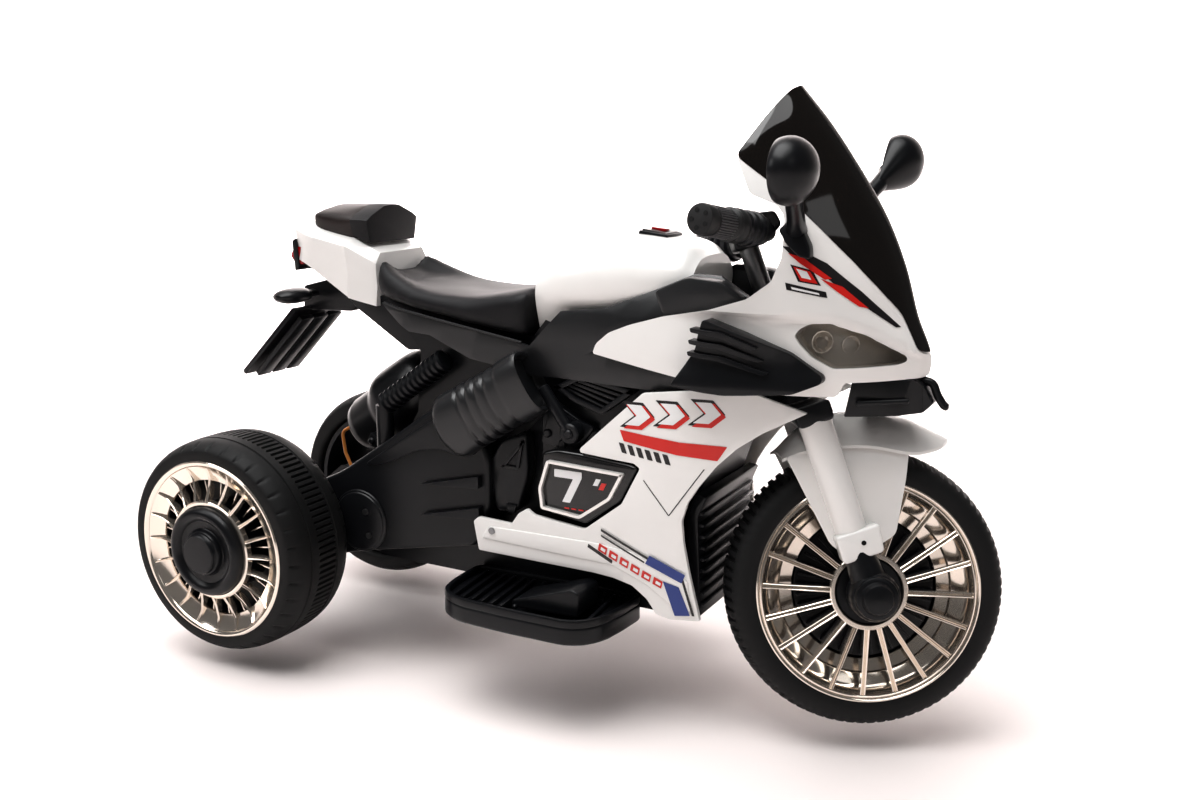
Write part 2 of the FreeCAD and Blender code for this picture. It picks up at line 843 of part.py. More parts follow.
def rear_arms():
    """The two hollow arms that run from the tub to the rear axle, and the round cap."""
    outer = ARM_OUTER
    arms = []
    for hand, side in SIDES:
        arm = side_prism(f"{hand}_arm_form", ARM_OUTLINE, S.tub_half_width, outer, side)
        hollow = side_prism(f"{hand}_arm_hollow", ARM_HOLLOW, S.tub_half_width, outer - S.arm_wall, side)
        start = -outer - 1 if side == RIGHT else ZERO
        hole = rod(f"{hand}_arm_hole", S.drive_boss_radius + S.drive_boss_room, (REAR_X, start, REAR_Z),
                   outer + 1)
        fins = [fin_block(hand, side, place) for place in ARM_FINS]
        solid = cut(f"{hand}_arm_cut", arm, [hollow, hole])
        arms.append(fuse(f"{hand}_rear_arm_solid", [solid] + fins))
    keep("rear_arms", group("rear_arms_pair", arms))
    cap = rod("gearbox_cap_disc", S.gearbox_cap_radius,
              (CAP_SPOT[0], -outer - S.gearbox_cap_depth, CAP_SPOT[1]), S.gearbox_cap_depth)
    keep("gearbox_cap", cap)


ARM_FINS = [rear(194, 95), rear(241, 74), rear(241, 46)]
FIN_LENGTH = 74
FIN_HEIGHT = 5
FIN_PROUD = 5


def fin_block(hand, side, place):
    """One fin on the outer face of an arm."""
    end = place[0] + FIN_LENGTH
    fin = [place, (end, place[1] + FIN_HEIGHT * 3), (end, place[1] + FIN_HEIGHT * 4)]
    face = ARM_OUTER
    return side_prism(f"{hand}_arm_fin", fin, face - S.arm_wall / 2, face + FIN_PROUD, side)


# Upper body
CENTRE_PANEL = [
    rear(162, 298), rear(372, 266), rear(381, 264), rear(421, 306), rear(476, 313), front(-228, 316),
    front(-195, 330), front(-178, 338), front(-148, 337), front(-112, 319), front(-152, 306),
    front(-217, 291), front(-259, 275), front(-289, 248), front(-222, 236), front(-165, 226),
    front(-100, 221.5), front(-100, 220.5), front(-165, 219.5), front(-216, 212.5), rear(419, 231),
    rear(382, 231), rear(299, 243), rear(243, 266), rear(212, 268),
]
CENTRE_PLAN = [rear(150, 0)[0], rear(200, 0)[0], rear(372, 0)[0], front(-100, 0)[0]]
PANEL_BOSSES = [rear(252, 272), rear(400, 268), rear(445, 285)]


def plan_band(name, stations, outer, wall, side, low, high):
    """A band that follows the stations in plan, one wall thick, for bending a panel."""
    outline = [(x, half * side) for x, half in zip(stations, outer)]
    back = [(x, (half - wall) * side) for x, half in reversed(list(zip(stations, outer)))]
    return plan_prism(name, outline + back, low, high)


def centre_panels():
    """The dark panels under the seat and along the tank."""
    wide = S.centre_panel_half_width
    outer = [wide - 20, wide - 3, wide, wide]
    panels = []
    for hand, side in SIDES:
        label = f"{hand}_centre_panel"
        prism = side_prism(f"{label}_outline", CENTRE_PANEL, S.tub_half_width, wide + 1, side)
        band = plan_band(f"{label}_band", CENTRE_PLAN, outer, S.panel_wall, side, REAR_Z - 60, REAR_Z + 420)
        skin = common(f"{label}_skin", [prism, band])
        depth = wide - S.panel_wall / 2 - S.tub_half_width
        posts = []
        for place in PANEL_BOSSES:
            start = S.tub_half_width if side == LEFT else -S.tub_half_width - depth
            posts.append(rod(f"{label}_boss", S.boss_radius, (place[0], start, place[1]), depth))
        panels.append(fuse(f"{label}_solid", [skin] + posts))
    keep("centre_panels", group("centre_panels_pair", panels))


SIDE_FAIRING = [
    front(-216, 211), front(-163, 218), front(-97, 219), front(-40, 204), front(-86, 180),
    front(-134, 140), front(-163, 98), front(-169, 77), front(-167, 53), front(-161, 20),
    front(-154, -13), front(-149, -36), front(-182, -38), front(-198, -34), front(-209, -17),
    front(-226, -4), front(-249, 2), rear(476, 18), rear(325, 21), rear(319, 56), rear(326, 62),
    rear(371, 60), rear(381, 74), rear(392, 81), rear(401, 75), rear(463, 68), front(-282, 55),
    front(-238, 89), front(-217, 131), front(-224, 136), front(-289, 141),
]
SIDE_FAIRING_PLAN = [rear(300, 0)[0], front(-230, 0)[0], front(-150, 0)[0], front(-30, 0)[0]]
FAIRING_BOSSES = [front(-190, 190), front(-200, 20), rear(365, 40)]


def side_fairings():
    """The white lower fairings."""
    wide = S.fairing_half_width
    narrow = S.fairing_front_half_width
    outer = [wide, wide - 2, wide - 14, narrow]
    fairings = []
    for hand, side in SIDES:
        label = f"{hand}_side_fairing"
        prism = side_prism(f"{label}_outline", SIDE_FAIRING, S.tub_half_width, wide + 1, side)
        band = plan_band(f"{label}_band", SIDE_FAIRING_PLAN, outer, S.panel_wall, side, REAR_Z - 60,
                         REAR_Z + 420)
        skin = common(f"{label}_skin", [prism, band])
        posts = []
        for place, half in zip(FAIRING_BOSSES, (wide - 9, wide - 6, wide)):
            depth = half - S.panel_wall / 2 - S.tub_half_width
            start = S.tub_half_width if side == LEFT else -S.tub_half_width - depth
            posts.append(rod(f"{label}_boss", S.boss_radius, (place[0], start, place[1]), depth))
        fairings.append(fuse(f"{label}_solid", [skin] + posts))
    keep("side_fairings", group("side_fairings_pair", fairings))


ENGINE_COVER = [
    rear(338, 64), rear(334, 127), rear(398, 190), rear(418, 226), front(-220, 211), front(-280, 150),
    front(-236, 130), front(-250, 86), rear(466, 73), rear(375, 62),
]
PLATE_HOUSING = [
    rear(408, 106), rear(411, 149), rear(428, 154), rear(459, 153), front(-228, 133.5), front(-220, 130),
    front(-240, 90.5), rear(467, 72), rear(420, 79),
]
PLATE_FRAME = [
    rear(429, 141), front(-233, 125), front(-256, 90), rear(463, 82), rear(422, 88), rear(411, 109),
]
PLATE_FACE = [
    rear(432, 136), front(-240, 121), front(-259, 94), rear(463, 87), rear(425, 92), rear(416, 109),
]
LOUVRE_START = rear(424, 196)
LOUVRE_LENGTH = 70


def engine_sides():
    """Louvred engine covers, and the number plates with their bright frames."""
    inner = S.tub_half_width
    face = inner + S.engine_cover_depth
    covers = []
    plates = []
    frames = []
    for hand, side in SIDES:
        cover = side_prism(f"{hand}_engine_form", ENGINE_COVER, inner, face, side)
        slots = []
        for step in range(LOUVRES):
            low = LOUVRE_START[1] + S.louvre_pitch * step
            left = LOUVRE_START[0] + S.louvre_pitch * (step * 0.5)
            span = (inner + 8, face + 1) if side == LEFT else (-face - 1, -inner - 8)
            slots.append(block(f"{hand}_louvre", [
                (left, left + LOUVRE_LENGTH), span, (low, low + S.louvre_slot)]))
        covers.append(cut(f"{hand}_engine_cover", cover, slots))
        plates.append(side_prism(f"{hand}_plate_housing", PLATE_HOUSING, face, S.plate_half_width, side))
        proud = S.plate_half_width + S.plate_frame_wall
        ring = side_prism(f"{hand}_frame_outer", PLATE_FRAME, S.plate_half_width, proud, side)
        hole = side_prism(f"{hand}_frame_hole", PLATE_FACE, S.plate_half_width, proud, side)
        frames.append(cut(f"{hand}_plate_frame", ring, [hole]))
    keep("engine_covers", group("engine_covers_pair", covers))
    keep("number_plates", group("number_plates_pair", plates))
    keep("number_plate_frames", group("number_plate_frames_pair", frames))


DUCT_OUTLINE = [
    rear(262, 178), rear(276, 194), rear(353, 239), rear(379, 262), rear(393, 261), rear(420, 195),
    rear(309, 120), rear(288, 133),
]
DUCT_AXIS = Vector(0.857, 0, 0.515)
DUCT_ACROSS = Vector(-0.515, 0, 0.857)


def air_ducts():
    """Boxy ribbed ducts on the outer sides of the arms."""
    inner = ARM_OUTER
    outer = inner + S.duct_depth
    ducts = []
    for hand, side in SIDES:
        form = side_prism(f"{hand}_duct_form", DUCT_OUTLINE, inner, outer, side)
        grooves = []
        first = Vector(float(REAR_X) + 296, 0, float(REAR_Z) + 170)
        for step in range(DUCT_RIBS):
            middle = first + DUCT_AXIS * (step * float(S.duct_rib_pitch))
            groove = doc.addObject("Part::Box", f"{hand}_duct_groove")
            bind(groove, "Length", S.duct_groove)
            bind(groove, "Width", S.duct_groove * 2)
            groove.Height = 140
            face = float(outer) * side
            start = face - float(S.duct_groove)
            base = middle - DUCT_ACROSS * 70
            slant = Rotation(DUCT_AXIS, Vector(0, 1, 0), DUCT_ACROSS, "XZY")
            groove.Placement = Placement(Vector(base.x, start, base.z), slant)
            grooves.append(groove)
        ducts.append(cut(f"{hand}_duct", form, grooves))
    keep("air_ducts", group("air_ducts_pair", ducts))


# Seat, pad and tail
def seat_floor(along):
    """Height of the tub's top edge under the seat, at a distance forward of the rear axle."""
    start = SEAT_REAR
    end = SEAT_FRONT
    share = (float(REAR_X) + along - float(start[0])) / float(end[0] - start[0])
    return float(start[1]) + share * float(end[1] - start[1])


def crowned_section(x, half, low, edge, crown, tuck):
    """A cushion section: flat below, drawn-in sides and a crowned top."""
    base_right = Vector(x, -half + tuck, low)
    base_left = Vector(x, half - tuck, low)
    top_right = Vector(x, -half + tuck * 1.4, edge)
    top_left = Vector(x, half - tuck * 1.4, edge)
    middle = (low + edge) / 2
    return Part.Wire([
        Part.LineSegment(base_right, base_left).toShape(),
        Part.Arc(base_left, Vector(x, half, middle), top_left).toShape(),
        Part.Arc(top_left, Vector(x, 0, crown), top_right).toShape(),
        Part.Arc(top_right, Vector(x, -half, middle), base_right).toShape(),
    ])


# Each row: distance forward of the rear axle, width share lost, edge and crown over the floor
SEAT_ROWS = [
    (143, 26, 38, 40), (165, 14, 27, 29), (215, 3, 18, 22), (285, 0, 24, 29), (340, 5, 36, 42),
    (370, 16, 50, 54),
]
SEAT_TUCK = 6


def seat():
    """The rider's cushion: dished, raised behind and at the nose."""
    wires = []
    for along, narrow, edge, crown in SEAT_ROWS:
        floor = seat_floor(along) + float(S.seat_gap)
        wires.append(crowned_section(float(REAR_X) + along, float(S.seat_half_width) - narrow, floor,
                                     floor + edge, floor + crown, SEAT_TUCK))
    keep("seat_cushion", shaped("seat_cushion_form", loft(wires, False)))


# Each row: distance forward of the rear axle, bottom, shoulder and ridge over the rear axle
PAD_ROWS = [(40, 390, 397, 409), (84, 377.5, 395, 412), (128, 366, 394, 413)]
PAD_NARROW = 6


def pillion_pad():
    """The small pad on the tail, with a ridge along its middle."""
    wires = []
    for along, low, shoulder, ridge in PAD_ROWS:
        x = float(REAR_X) + along
        half = float(S.pad_half_width)
        base = float(REAR_Z) + low + float(S.seat_gap) * 2
        side_z = float(REAR_Z) + shoulder
        ridge_z = float(REAR_Z) + ridge
        corners = [Vector(x, -half + PAD_NARROW, base), Vector(x, half - PAD_NARROW, base),
                   Vector(x, half, side_z), Vector(x, -half, side_z)]
        top = Vector(x, 0, ridge_z)
        wires.append(Part.Wire([
            Part.LineSegment(corners[0], corners[1]).toShape(),
            Part.LineSegment(corners[1], corners[2]).toShape(),
            Part.Arc(corners[2], (corners[2] + top) * 0.5 + Vector(0, 2, 3), top).toShape(),
            Part.Arc(top, (corners[3] + top) * 0.5 + Vector(0, -2, 3), corners[3]).toShape(),
            Part.LineSegment(corners[3], corners[0]).toShape(),
        ]))
    keep("pillion_pad", shaped("pillion_pad_form", loft(wires, False)))


# Each row: distance forward of the rear axle, then half-width lost and height over the axle of
# the top edge, the widest line and the bottom edge
TAIL_ROWS = [
    (14, (26, 388), (14, 381), (16, 366)),
    (40, (21, 390), (4, 374), (10, 352)),
    (64, (20, 383.2), (2, 370), (8, 337)),
    (110, (18, 370.8), (0, 362), (4, 297)),
    (141, (18, 355), (0, 342), (3, 290)),
]
UNDERTRAY = [
    rear(24, 365), rear(24, 331), rear(56, 327), rear(104, 284), rear(181, 237), rear(212, 240), SEAT_REAR,
    rear(141, 301), rear(100, 335), rear(60, 365),
]
BRACKET = [rear(-4, 304), rear(36, 314), rear(70, 314.5), rear(98, 289.4), rear(75, 275), rear(-6, 272)]


def tail():
    """White tail cover on its black undertray, with light, plate bracket and turn signals."""
    wires = []
    for along, *ring in TAIL_ROWS:
        x = float(REAR_X) + along
        wide = float(S.tail_half_width)
        half = [Vector(x, wide - narrow, float(REAR_Z) + up) for narrow, up in ring]
        wires.append(polygon(mirrored(half)))
    hull = shaped("tail_form", loft(wires))
    tray_room = wide_prism("undertray_room", UNDERTRAY, S.undertray_half_width)
    keep("tail_cover", cut("tail_cover_solid", hull, [tray_room]))
    keep("tail_undertray", wide_prism("tail_undertray_solid", UNDERTRAY, S.undertray_half_width))
    light = [rear(24, 359), rear(10, 357), rear(5, 345), rear(13, 337), rear(24, 335)]
    keep("tail_light", wide_prism("tail_light_solid", light, S.tail_light_half_width))
    arm = wide_prism("bracket_arm", BRACKET, S.bracket_half_width)
    thick = S.board_thickness
    board_top = rear(10, 276)
    board_low = rear(-82, 184)
    board = wide_prism("plate_board", [
        board_top, board_low, (board_low[0] - thick * 1.4, board_low[1] + thick * 0.6),
        (board_top[0] - thick * 1.4, board_top[1] + thick * 0.6)], S.board_half_width)
    keep("plate_bracket", cut("plate_bracket_solid", fuse("bracket_and_board", [arm, board]), [tray_room]))
    signals = []
    spot = rear(12, 296)
    for hand, side in SIDES:
        stalk_end = S.bracket_half_width + 14
        radius = S.signal_radius
        signal = turned(f"{hand}_signal", [
            (ZERO, S.bracket_half_width), (radius / 2, S.bracket_half_width), (radius / 2, stalk_end),
            (radius * 0.85, stalk_end), (radius, stalk_end + radius), (radius * 0.8, S.signal_reach - radius),
            (radius * 0.3, S.signal_reach), (ZERO, S.signal_reach)])
        turn = Rotation(Vector(1, 0, 0), 180) if side == RIGHT else Rotation()
        signal.Placement = Placement(Vector(float(spot[0]), 0, float(spot[1])), turn)
        signals.append(signal)
    keep("turn_signals", group("turn_signals_pair", signals))


# Each row: distance forward of the rear axle, then half-width and height of the bottom edge,
# the shoulder and the top edge, heights over the tub's top edge
TANK_ROWS = [
    (377, (60, 0), (66, 28), (40, 58)),
    (425, (76, 0), (80, 40), (46, 83)),
    (480, (78, 0), (82, 44), (48, 79)),
]
TANK_FRONT_ROWS = [
    (-205, (70, 0), (72, 38), (40, 66)),
    (-182, (58, 16), (60, 36), (34, 50)),
]


def tub_top(x):
    """Height of the tub's top edge under the tank."""
    share = (x - float(TANK_REAR[0])) / float(TANK_FRONT[0] - TANK_REAR[0])
    return float(TANK_REAR[1]) + share * float(TANK_FRONT[1] - TANK_REAR[1])


def tank():
    """The white tank cover, its flat top with the dash and the rocker switch."""
    wires = []
    places = [(float(REAR_X) + along, ring) for along, *ring in TANK_ROWS]
    places += [(float(FRONT_X) + along, ring) for along, *ring in TANK_FRONT_ROWS]
    for x, ring in places:
        floor = tub_top(x)
        wires.append(polygon(mirrored([Vector(x, half, floor + up) for half, up in ring])))
    hull = loft(wires)
    wall = float(S.panel_wall)
    inner = []
    for x, ring in places[1:-1]:
        floor = tub_top(x)
        hollow = [Vector(x, half - wall, floor + up - wall) for half, up in ring]
        inner.append(polygon(mirrored(hollow)))
    keep("tank_cover", shaped("tank_cover_form", hull.cut(loft(inner))))
    top = places[2]
    dash_z = measure(tub_top(top[0]) + top[1][2][1])
    dash_x = REAR_X + 482
    half = S.rocker_length
    rocker_half = S.rocker_width / 2
    rocker_run = S.rocker_length / 2
    room = S.pedal_room
    middle = dash_x + half
    base = block("dash_base", [
        (dash_x, dash_x + half * 2), (-half, half), (dash_z - 1, dash_z + S.dash_height)])
    hull_tool = shaped("dash_seat", hull)
    well = block("rocker_well", [
        (middle - rocker_run - room, middle + rocker_run + room), (-rocker_half - room, rocker_half + room),
        (dash_z - 1, dash_z + S.dash_height + 1)])
    pin_z = dash_z + S.dash_height / 2
    pin_half = rocker_half + room + 3
    pin_bore = rod("rocker_bore", S.rocker_pin_radius + S.running_clearance, (middle, -pin_half, pin_z),
                   pin_half * 2)
    keep("dash_panel", cut("dash_panel_solid", base, [well, pin_bore, hull_tool]))
    pin = rod("rocker_pin", S.rocker_pin_radius, (middle, -pin_half, pin_z), pin_half * 2)
    cap = side_prism("rocker_cap", [
        (middle - rocker_run, pin_z - 1), (middle, pin_z - 2), (middle + rocker_run, pin_z - 1),
        (middle + rocker_run, pin_z + 3), (middle, pin_z + 5), (middle - rocker_run, pin_z + 6)],
        -rocker_half, rocker_half)
    keep("switch_rocker", fuse("switch_rocker_solid", [pin, cap]))


# Nose
# Each row: height over the front axle, then distance from the front axle and half-width
NOSE_ROWS = [
    (216, (-300, 104), (-110, 104), (-15, 84), (40, 34), (53, 6)),
    (256, (-300, 104), (-110, 107), (-10, 88), (48, 34), (62, 6)),
    (301, (-300, 98), (-110, 103), (-25, 80), (25, 32), (40, 6)),
    (351, (-190, 92), (-110, 97), (-45, 74), (2, 30), (16, 6)),
    (401, (-190, 86), (-110, 88), (-60, 64), (-26, 28), (-13, 6)),
    (451, (-170, 70), (-120, 70), (-82, 50), (-53, 24), (-41, 6)),
    (496, (-140, 48), (-110, 46), (-90, 34), (-74, 18), (-65, 6)),
    (534, (-110, 22), (-102, 20), (-96, 14), (-91, 9), (-87, 4)),
]
NOSE_BACK = 40
NOSE_BOSSES = [front(-175, 262), front(-215, 262)]
NOSE_BOSS_REACH = Measure(41)
FAIRING_OUTLINE = [
    front(-130, 462), front(-111, 421), front(-86, 400), front(-74, 368), front(-82, 338), front(-103, 320),
    front(-146, 306), front(-252, 281), front(-286, 249), front(-221, 238), front(-165, 229), front(-100, 222.5),
    front(-13, 222.5), front(-5, 238), front(60, 238), front(70, 257), front(56, 265), front(36, 306),
    front(14, 333), front(-7, 357), front(-41, 392), front(-62, 412), front(-90, 435),
]
SCREEN_OUTLINE = [
    front(-130, 462), front(-90, 435), front(-62, 412), front(-41, 392), front(-7, 357), front(14, 333),
    front(36, 306), front(56, 265), front(80, 262), front(60, 330), front(-60, 540), front(-92, 534),
]
LENS_OUTLINE = [
    front(-49, 288), front(-20, 300), front(12, 288), front(38, 261), front(32, 254), front(-22, 256),
    front(-40, 277),
]


def nose_form(name, inset, back, stretch):
    """The nose as a solid, or its hollow when it is inset and stretched past its ends."""
    wires = []
    last = len(NOSE_ROWS) - 1
    for row, (up, *ring) in enumerate(NOSE_ROWS):
        lift = -stretch if row == 0 else (stretch if row == last else 0)
        half = []
        for step, (along, wide) in enumerate(ring):
            x = float(FRONT_X) + along - (back if step == 0 else 0)
            if step:
                x -= inset * (1.4 if step >= 3 else 0.5)
            half.append(Vector(x, max(wide - inset, 1.5), float(FRONT_Z) + up + lift))
        wires.append(polygon(mirrored(half)))
    return shaped(name, loft(wires))


def nose():
    """Front fairing, windscreen and headlight lenses, all cut from one thin nose."""
    wall = float(S.nose_wall)
    hollow = nose_form("nose_inner", wall, NOSE_BACK, wall * 4)
    shell = cut("nose_shell", nose_form("nose_outer", 0, 0, 0), [hollow])
    reach = S.fairing_half_width
    fairing_room = wide_prism("fairing_room", FAIRING_OUTLINE, reach)
    lens_room = wide_prism("lens_room", LENS_OUTLINE, reach)
    screen_room = wide_prism("screen_room", SCREEN_OUTLINE, reach)
    skin = cut("fairing_open", common("fairing_skin", [shell, fairing_room]), [lens_room])
    posts = []
    for hand, side in SIDES:
        for place in NOSE_BOSSES:
            start = S.tub_half_width if side == LEFT else -S.tub_half_width - NOSE_BOSS_REACH
            posts.append(rod(f"{hand}_nose_boss", S.boss_radius, (place[0], start, place[1]), NOSE_BOSS_REACH))
    keep("front_fairing", fuse("front_fairing_solid", [skin] + posts))
    keep("windscreen", common("windscreen_solid", [shell, screen_room]))
    keep("headlight_lenses", common("headlight_lenses_solid", [shell, lens_room]))
    chin_side = wide_prism("chin_side", [
        front(-12, 196), front(62, 201), front(76, 210), front(59, 229), front(50, 237.8), front(-4, 237.8)], reach)
    chin_plan = plan_prism("chin_plan", [
        (FRONT_X - 14, -54), (FRONT_X + 40, -34), (FRONT_X + 60, -14), (FRONT_X + 78, -10),
        (FRONT_X + 78, 10), (FRONT_X + 60, 14), (FRONT_X + 40, 34), (FRONT_X - 14, 54)],
        FRONT_Z + 180, FRONT_Z + 260)
    keep("chin_guard", common("chin_guard_solid", [chin_side, chin_plan]))
    wing_outline = [
        front(-141, 299), front(-146, 282), front(-154, 265), front(-172, 226), front(-116, 223.5), front(-50, 228),
        front(-24, 240), front(-24, 245), front(-55, 267)]
    wings = []
    for hand, side in SIDES:
        prism = side_prism(f"{hand}_wing_side", wing_outline, S.tub_half_width, reach + 20, side)
        plan = plan_prism(f"{hand}_wing_plan", [
            (FRONT_X - 175, 107.3 * side), (FRONT_X - 110, 107.3 * side), (FRONT_X - 10, 88.3 * side),
            (FRONT_X - 24, 96 * side), (FRONT_X - 140, 127 * side), (FRONT_X - 175, 120 * side)],
            FRONT_Z + 200, FRONT_Z + 320)
        wings.append(common(f"{hand}_winglet", [prism, plan]))
    keep("winglets", group("winglets_pair", wings))
    radiator = [
        front(-164.7, 100), front(-152, 98), front(-162, 74), front(-157, -40), front(-170, -40), front(-175, 75)]
    keep("radiator_panel", wide_prism("radiator_panel_solid", radiator, S.tub_half_width + 18))


# Mirrors
def mirrors():
    """Rounded mirror housings on stalks, and their glasses."""
    housings = []
    glasses = []
    radius = float(S.mirror_radius)
    for hand, side in SIDES:
        middle = Vector(float(FRONT_X) - 29, side * float(S.mirror_half_span), float(FRONT_Z) + 452)
        foot = Vector(float(FRONT_X) - 62, side * 62, float(FRONT_Z) + 386)
        bowl = doc.addObject("Part::Sphere", f"{hand}_mirror_bowl")
        bind(bowl, "Radius", S.mirror_radius)
        bowl.Placement = Placement(middle, Rotation())
        behind = doc.addObject("Part::Box", f"{hand}_mirror_behind")
        behind.Length = radius * 2
        behind.Width = radius * 4
        behind.Height = radius * 4
        face_x = middle.x - radius * 0.3
        corner = Vector(face_x - radius * 2, middle.y - radius * 2, middle.z - radius * 2)
        behind.Placement = Placement(corner, Rotation())
        recess = doc.addObject("Part::Cylinder", f"{hand}_mirror_recess")
        bind(recess, "Radius", S.mirror_radius * 0.8)
        bind(recess, "Height", S.mirror_glass_thickness)
        recess.Placement = Placement(Vector(face_x, middle.y, middle.z), AXIS_TURNS["x"])
        stalk = slant_rod(f"{hand}_mirror_stalk", S.bar_radius * 0.8, foot, middle - Vector(0, side * radius * 0.4, radius * 0.4),
                          S.bar_radius * 1.2)
        body = fuse(f"{hand}_mirror_body", [bowl, stalk])
        inside = nose_form(f"{hand}_mirror_seat", 0, 0, 0)
        housings.append(cut(f"{hand}_mirror", body, [behind, recess, inside]))
        glass = doc.addObject("Part::Cylinder", f"{hand}_mirror_glass")
        bind(glass, "Radius", S.mirror_radius * 0.8)
        bind(glass, "Height", S.mirror_glass_thickness)
        glass.Placement = recess.Placement
        glasses.append(glass)
    keep("mirrors", group("mirrors_pair", housings))
    keep("mirror_glasses", group("mirror_glasses_pair", glasses))


# Footboards and throttle
PEDAL_HINGE = rear(398, -23)
PEDAL_MIDDLE = 128


def footboards():
    """The two footboards, and the sprung throttle pedal in the right one."""
    top = S.footboard_top
    low = top - S.footboard_thickness
    wide = S.footboard_half_width
    inner = S.tub_half_width
    outline = [
        (REAR_X + 290, inner), (REAR_X + 300, wide - 22), (REAR_X + 330, wide - 4), (REAR_X + 400, wide),
        (REAR_X + 480, wide), (REAR_X + 506, wide - 22), (REAR_X + 516, inner)]
    pedal_low = PEDAL_MIDDLE - S.pedal_width / 2
    pedal_high = PEDAL_MIDDLE + S.pedal_width / 2
    room = S.pedal_room
    hinge_x, hinge_z = PEDAL_HINGE
    pin = S.pedal_pin_radius
    for hand, side in SIDES:
        plan = [(x, half * side) for x, half in outline]
        board = plan_prism(f"{hand}_footboard_form", plan, low, top)
        if side == RIGHT:
            well = block("pedal_well", [
                (hinge_x - pin * 3, hinge_x + S.pedal_length + room), (-pedal_high - room, -pedal_low + room),
                (top - S.pedal_travel - 5, top + 1)])
            bore = rod("pedal_bore", pin + S.running_clearance, (hinge_x, -pedal_high - room - 4, hinge_z),
                       S.pedal_width + room * 2 + 8)
            board = cut("right_footboard_cut", board, [well, bore])
        keep(f"{hand}_footboard", board)
    barrel = rod("pedal_pin", pin, (hinge_x, -pedal_high - room - 3, hinge_z), S.pedal_width + room * 2 + 6)
    tread_z = hinge_z + pin + 2
    wedge = side_prism("pedal_wedge", [
        (hinge_x - pin * 1.6, hinge_z - pin), (hinge_x + S.pedal_length, hinge_z + pin),
        (hinge_x + S.pedal_length, tread_z + S.pedal_height),
        (hinge_x + S.pedal_length * 0.55, tread_z + S.pedal_height),
        (hinge_x - pin * 1.6, tread_z)], pedal_low, pedal_high)
    keep("throttle_pedal", fuse("throttle_pedal_solid", [barrel, wedge]))


# Fork and steering, straight ahead about the front axle
def fork():
    """Legs with feet and caps, crown, stem, bars, grips, axle and the mudguard with shrouds."""
    legs = []
    for hand, side in SIDES:
        offset = Vector(0, side * float(S.fork_leg_offset), 0)
        leg = slant_rod(f"{hand}_fork_leg", S.fork_leg_radius, offset, offset + on_stem(S.crown_height))
        low = S.fork_foot_inner if side == LEFT else -S.fork_foot_outer
        foot = rod(f"{hand}_fork_foot", S.fork_foot_radius, (ZERO, low, ZERO),
                   S.fork_foot_outer - S.fork_foot_inner)
        cap_low = S.fork_foot_outer if side == LEFT else -S.axle_cap_end
        cap = rod(f"{hand}_axle_cap", S.axle_cap_radius, (ZERO, cap_low, ZERO),
                  S.axle_cap_end - S.fork_foot_outer)
        bore = rod(f"{hand}_axle_seat", S.front_axle_radius, (ZERO, -S.front_axle_half_length, ZERO),
                   S.front_axle_half_length * 2)
        legs.append(cut(f"{hand}_fork_leg_solid", fuse(f"{hand}_leg_and_foot", [leg, foot, cap]), [bore]))
    keep("fork_legs", group("fork_legs_pair", legs), STEERED)
    axle = rod("front_axle_rod", S.front_axle_radius, (ZERO, -S.front_axle_half_length, ZERO),
               S.front_axle_half_length * 2)
    keep("front_axle", group("front_axle_single", [axle]), STEERED)
    across = float(S.fork_leg_offset + S.fork_leg_radius) + 3
    deep = float(S.crown_depth)
    crown = doc.addObject("Part::Box", "crown_block")
    bind(crown, "Length", S.crown_depth)
    bind(crown, "Height", S.crown_thickness)
    crown.Width = across * 2
    lean = Rotation(Vector(0, 0, 1), STEER_AXIS)
    crown.Placement = Placement(on_stem(S.crown_height) + lean.multVec(Vector(-deep / 2, -across, 0)), lean)
    keep("fork_crown", cut("fork_crown_solid", crown, [
        slant_rod("crown_bore", S.stem_radius, on_stem(S.crown_height), on_stem(S.stem_top))]), STEERED)
    stem = slant_rod("stem_rod", S.stem_radius, on_stem(S.crown_height), on_stem(S.stem_top))
    stem.Placement = STEERED.multiply(stem.Placement)
    keep("steering_stem", stem)
    handlebar(lean)
    guard = mudguard()
    keep("front_mudguard", guard, STEERED)


def bar_line(side):
    """Where a bar leaves the clamp, where it bends, and where its grip ends."""
    middle = on_stem(S.clamp_height + S.clamp_size / 2)
    root = middle + Vector(0, side * float(S.clamp_size) * 0.3, 0)
    drop = Vector(0, 0, -float(S.bar_drop))
    bend = middle + drop + Vector(float(S.bar_root_ahead), side * float(S.bar_root_half_span), 0)
    end = middle + drop + Vector(-float(S.grip_sweep), side * float(S.grip_half_span), 0)
    return root, bend, end


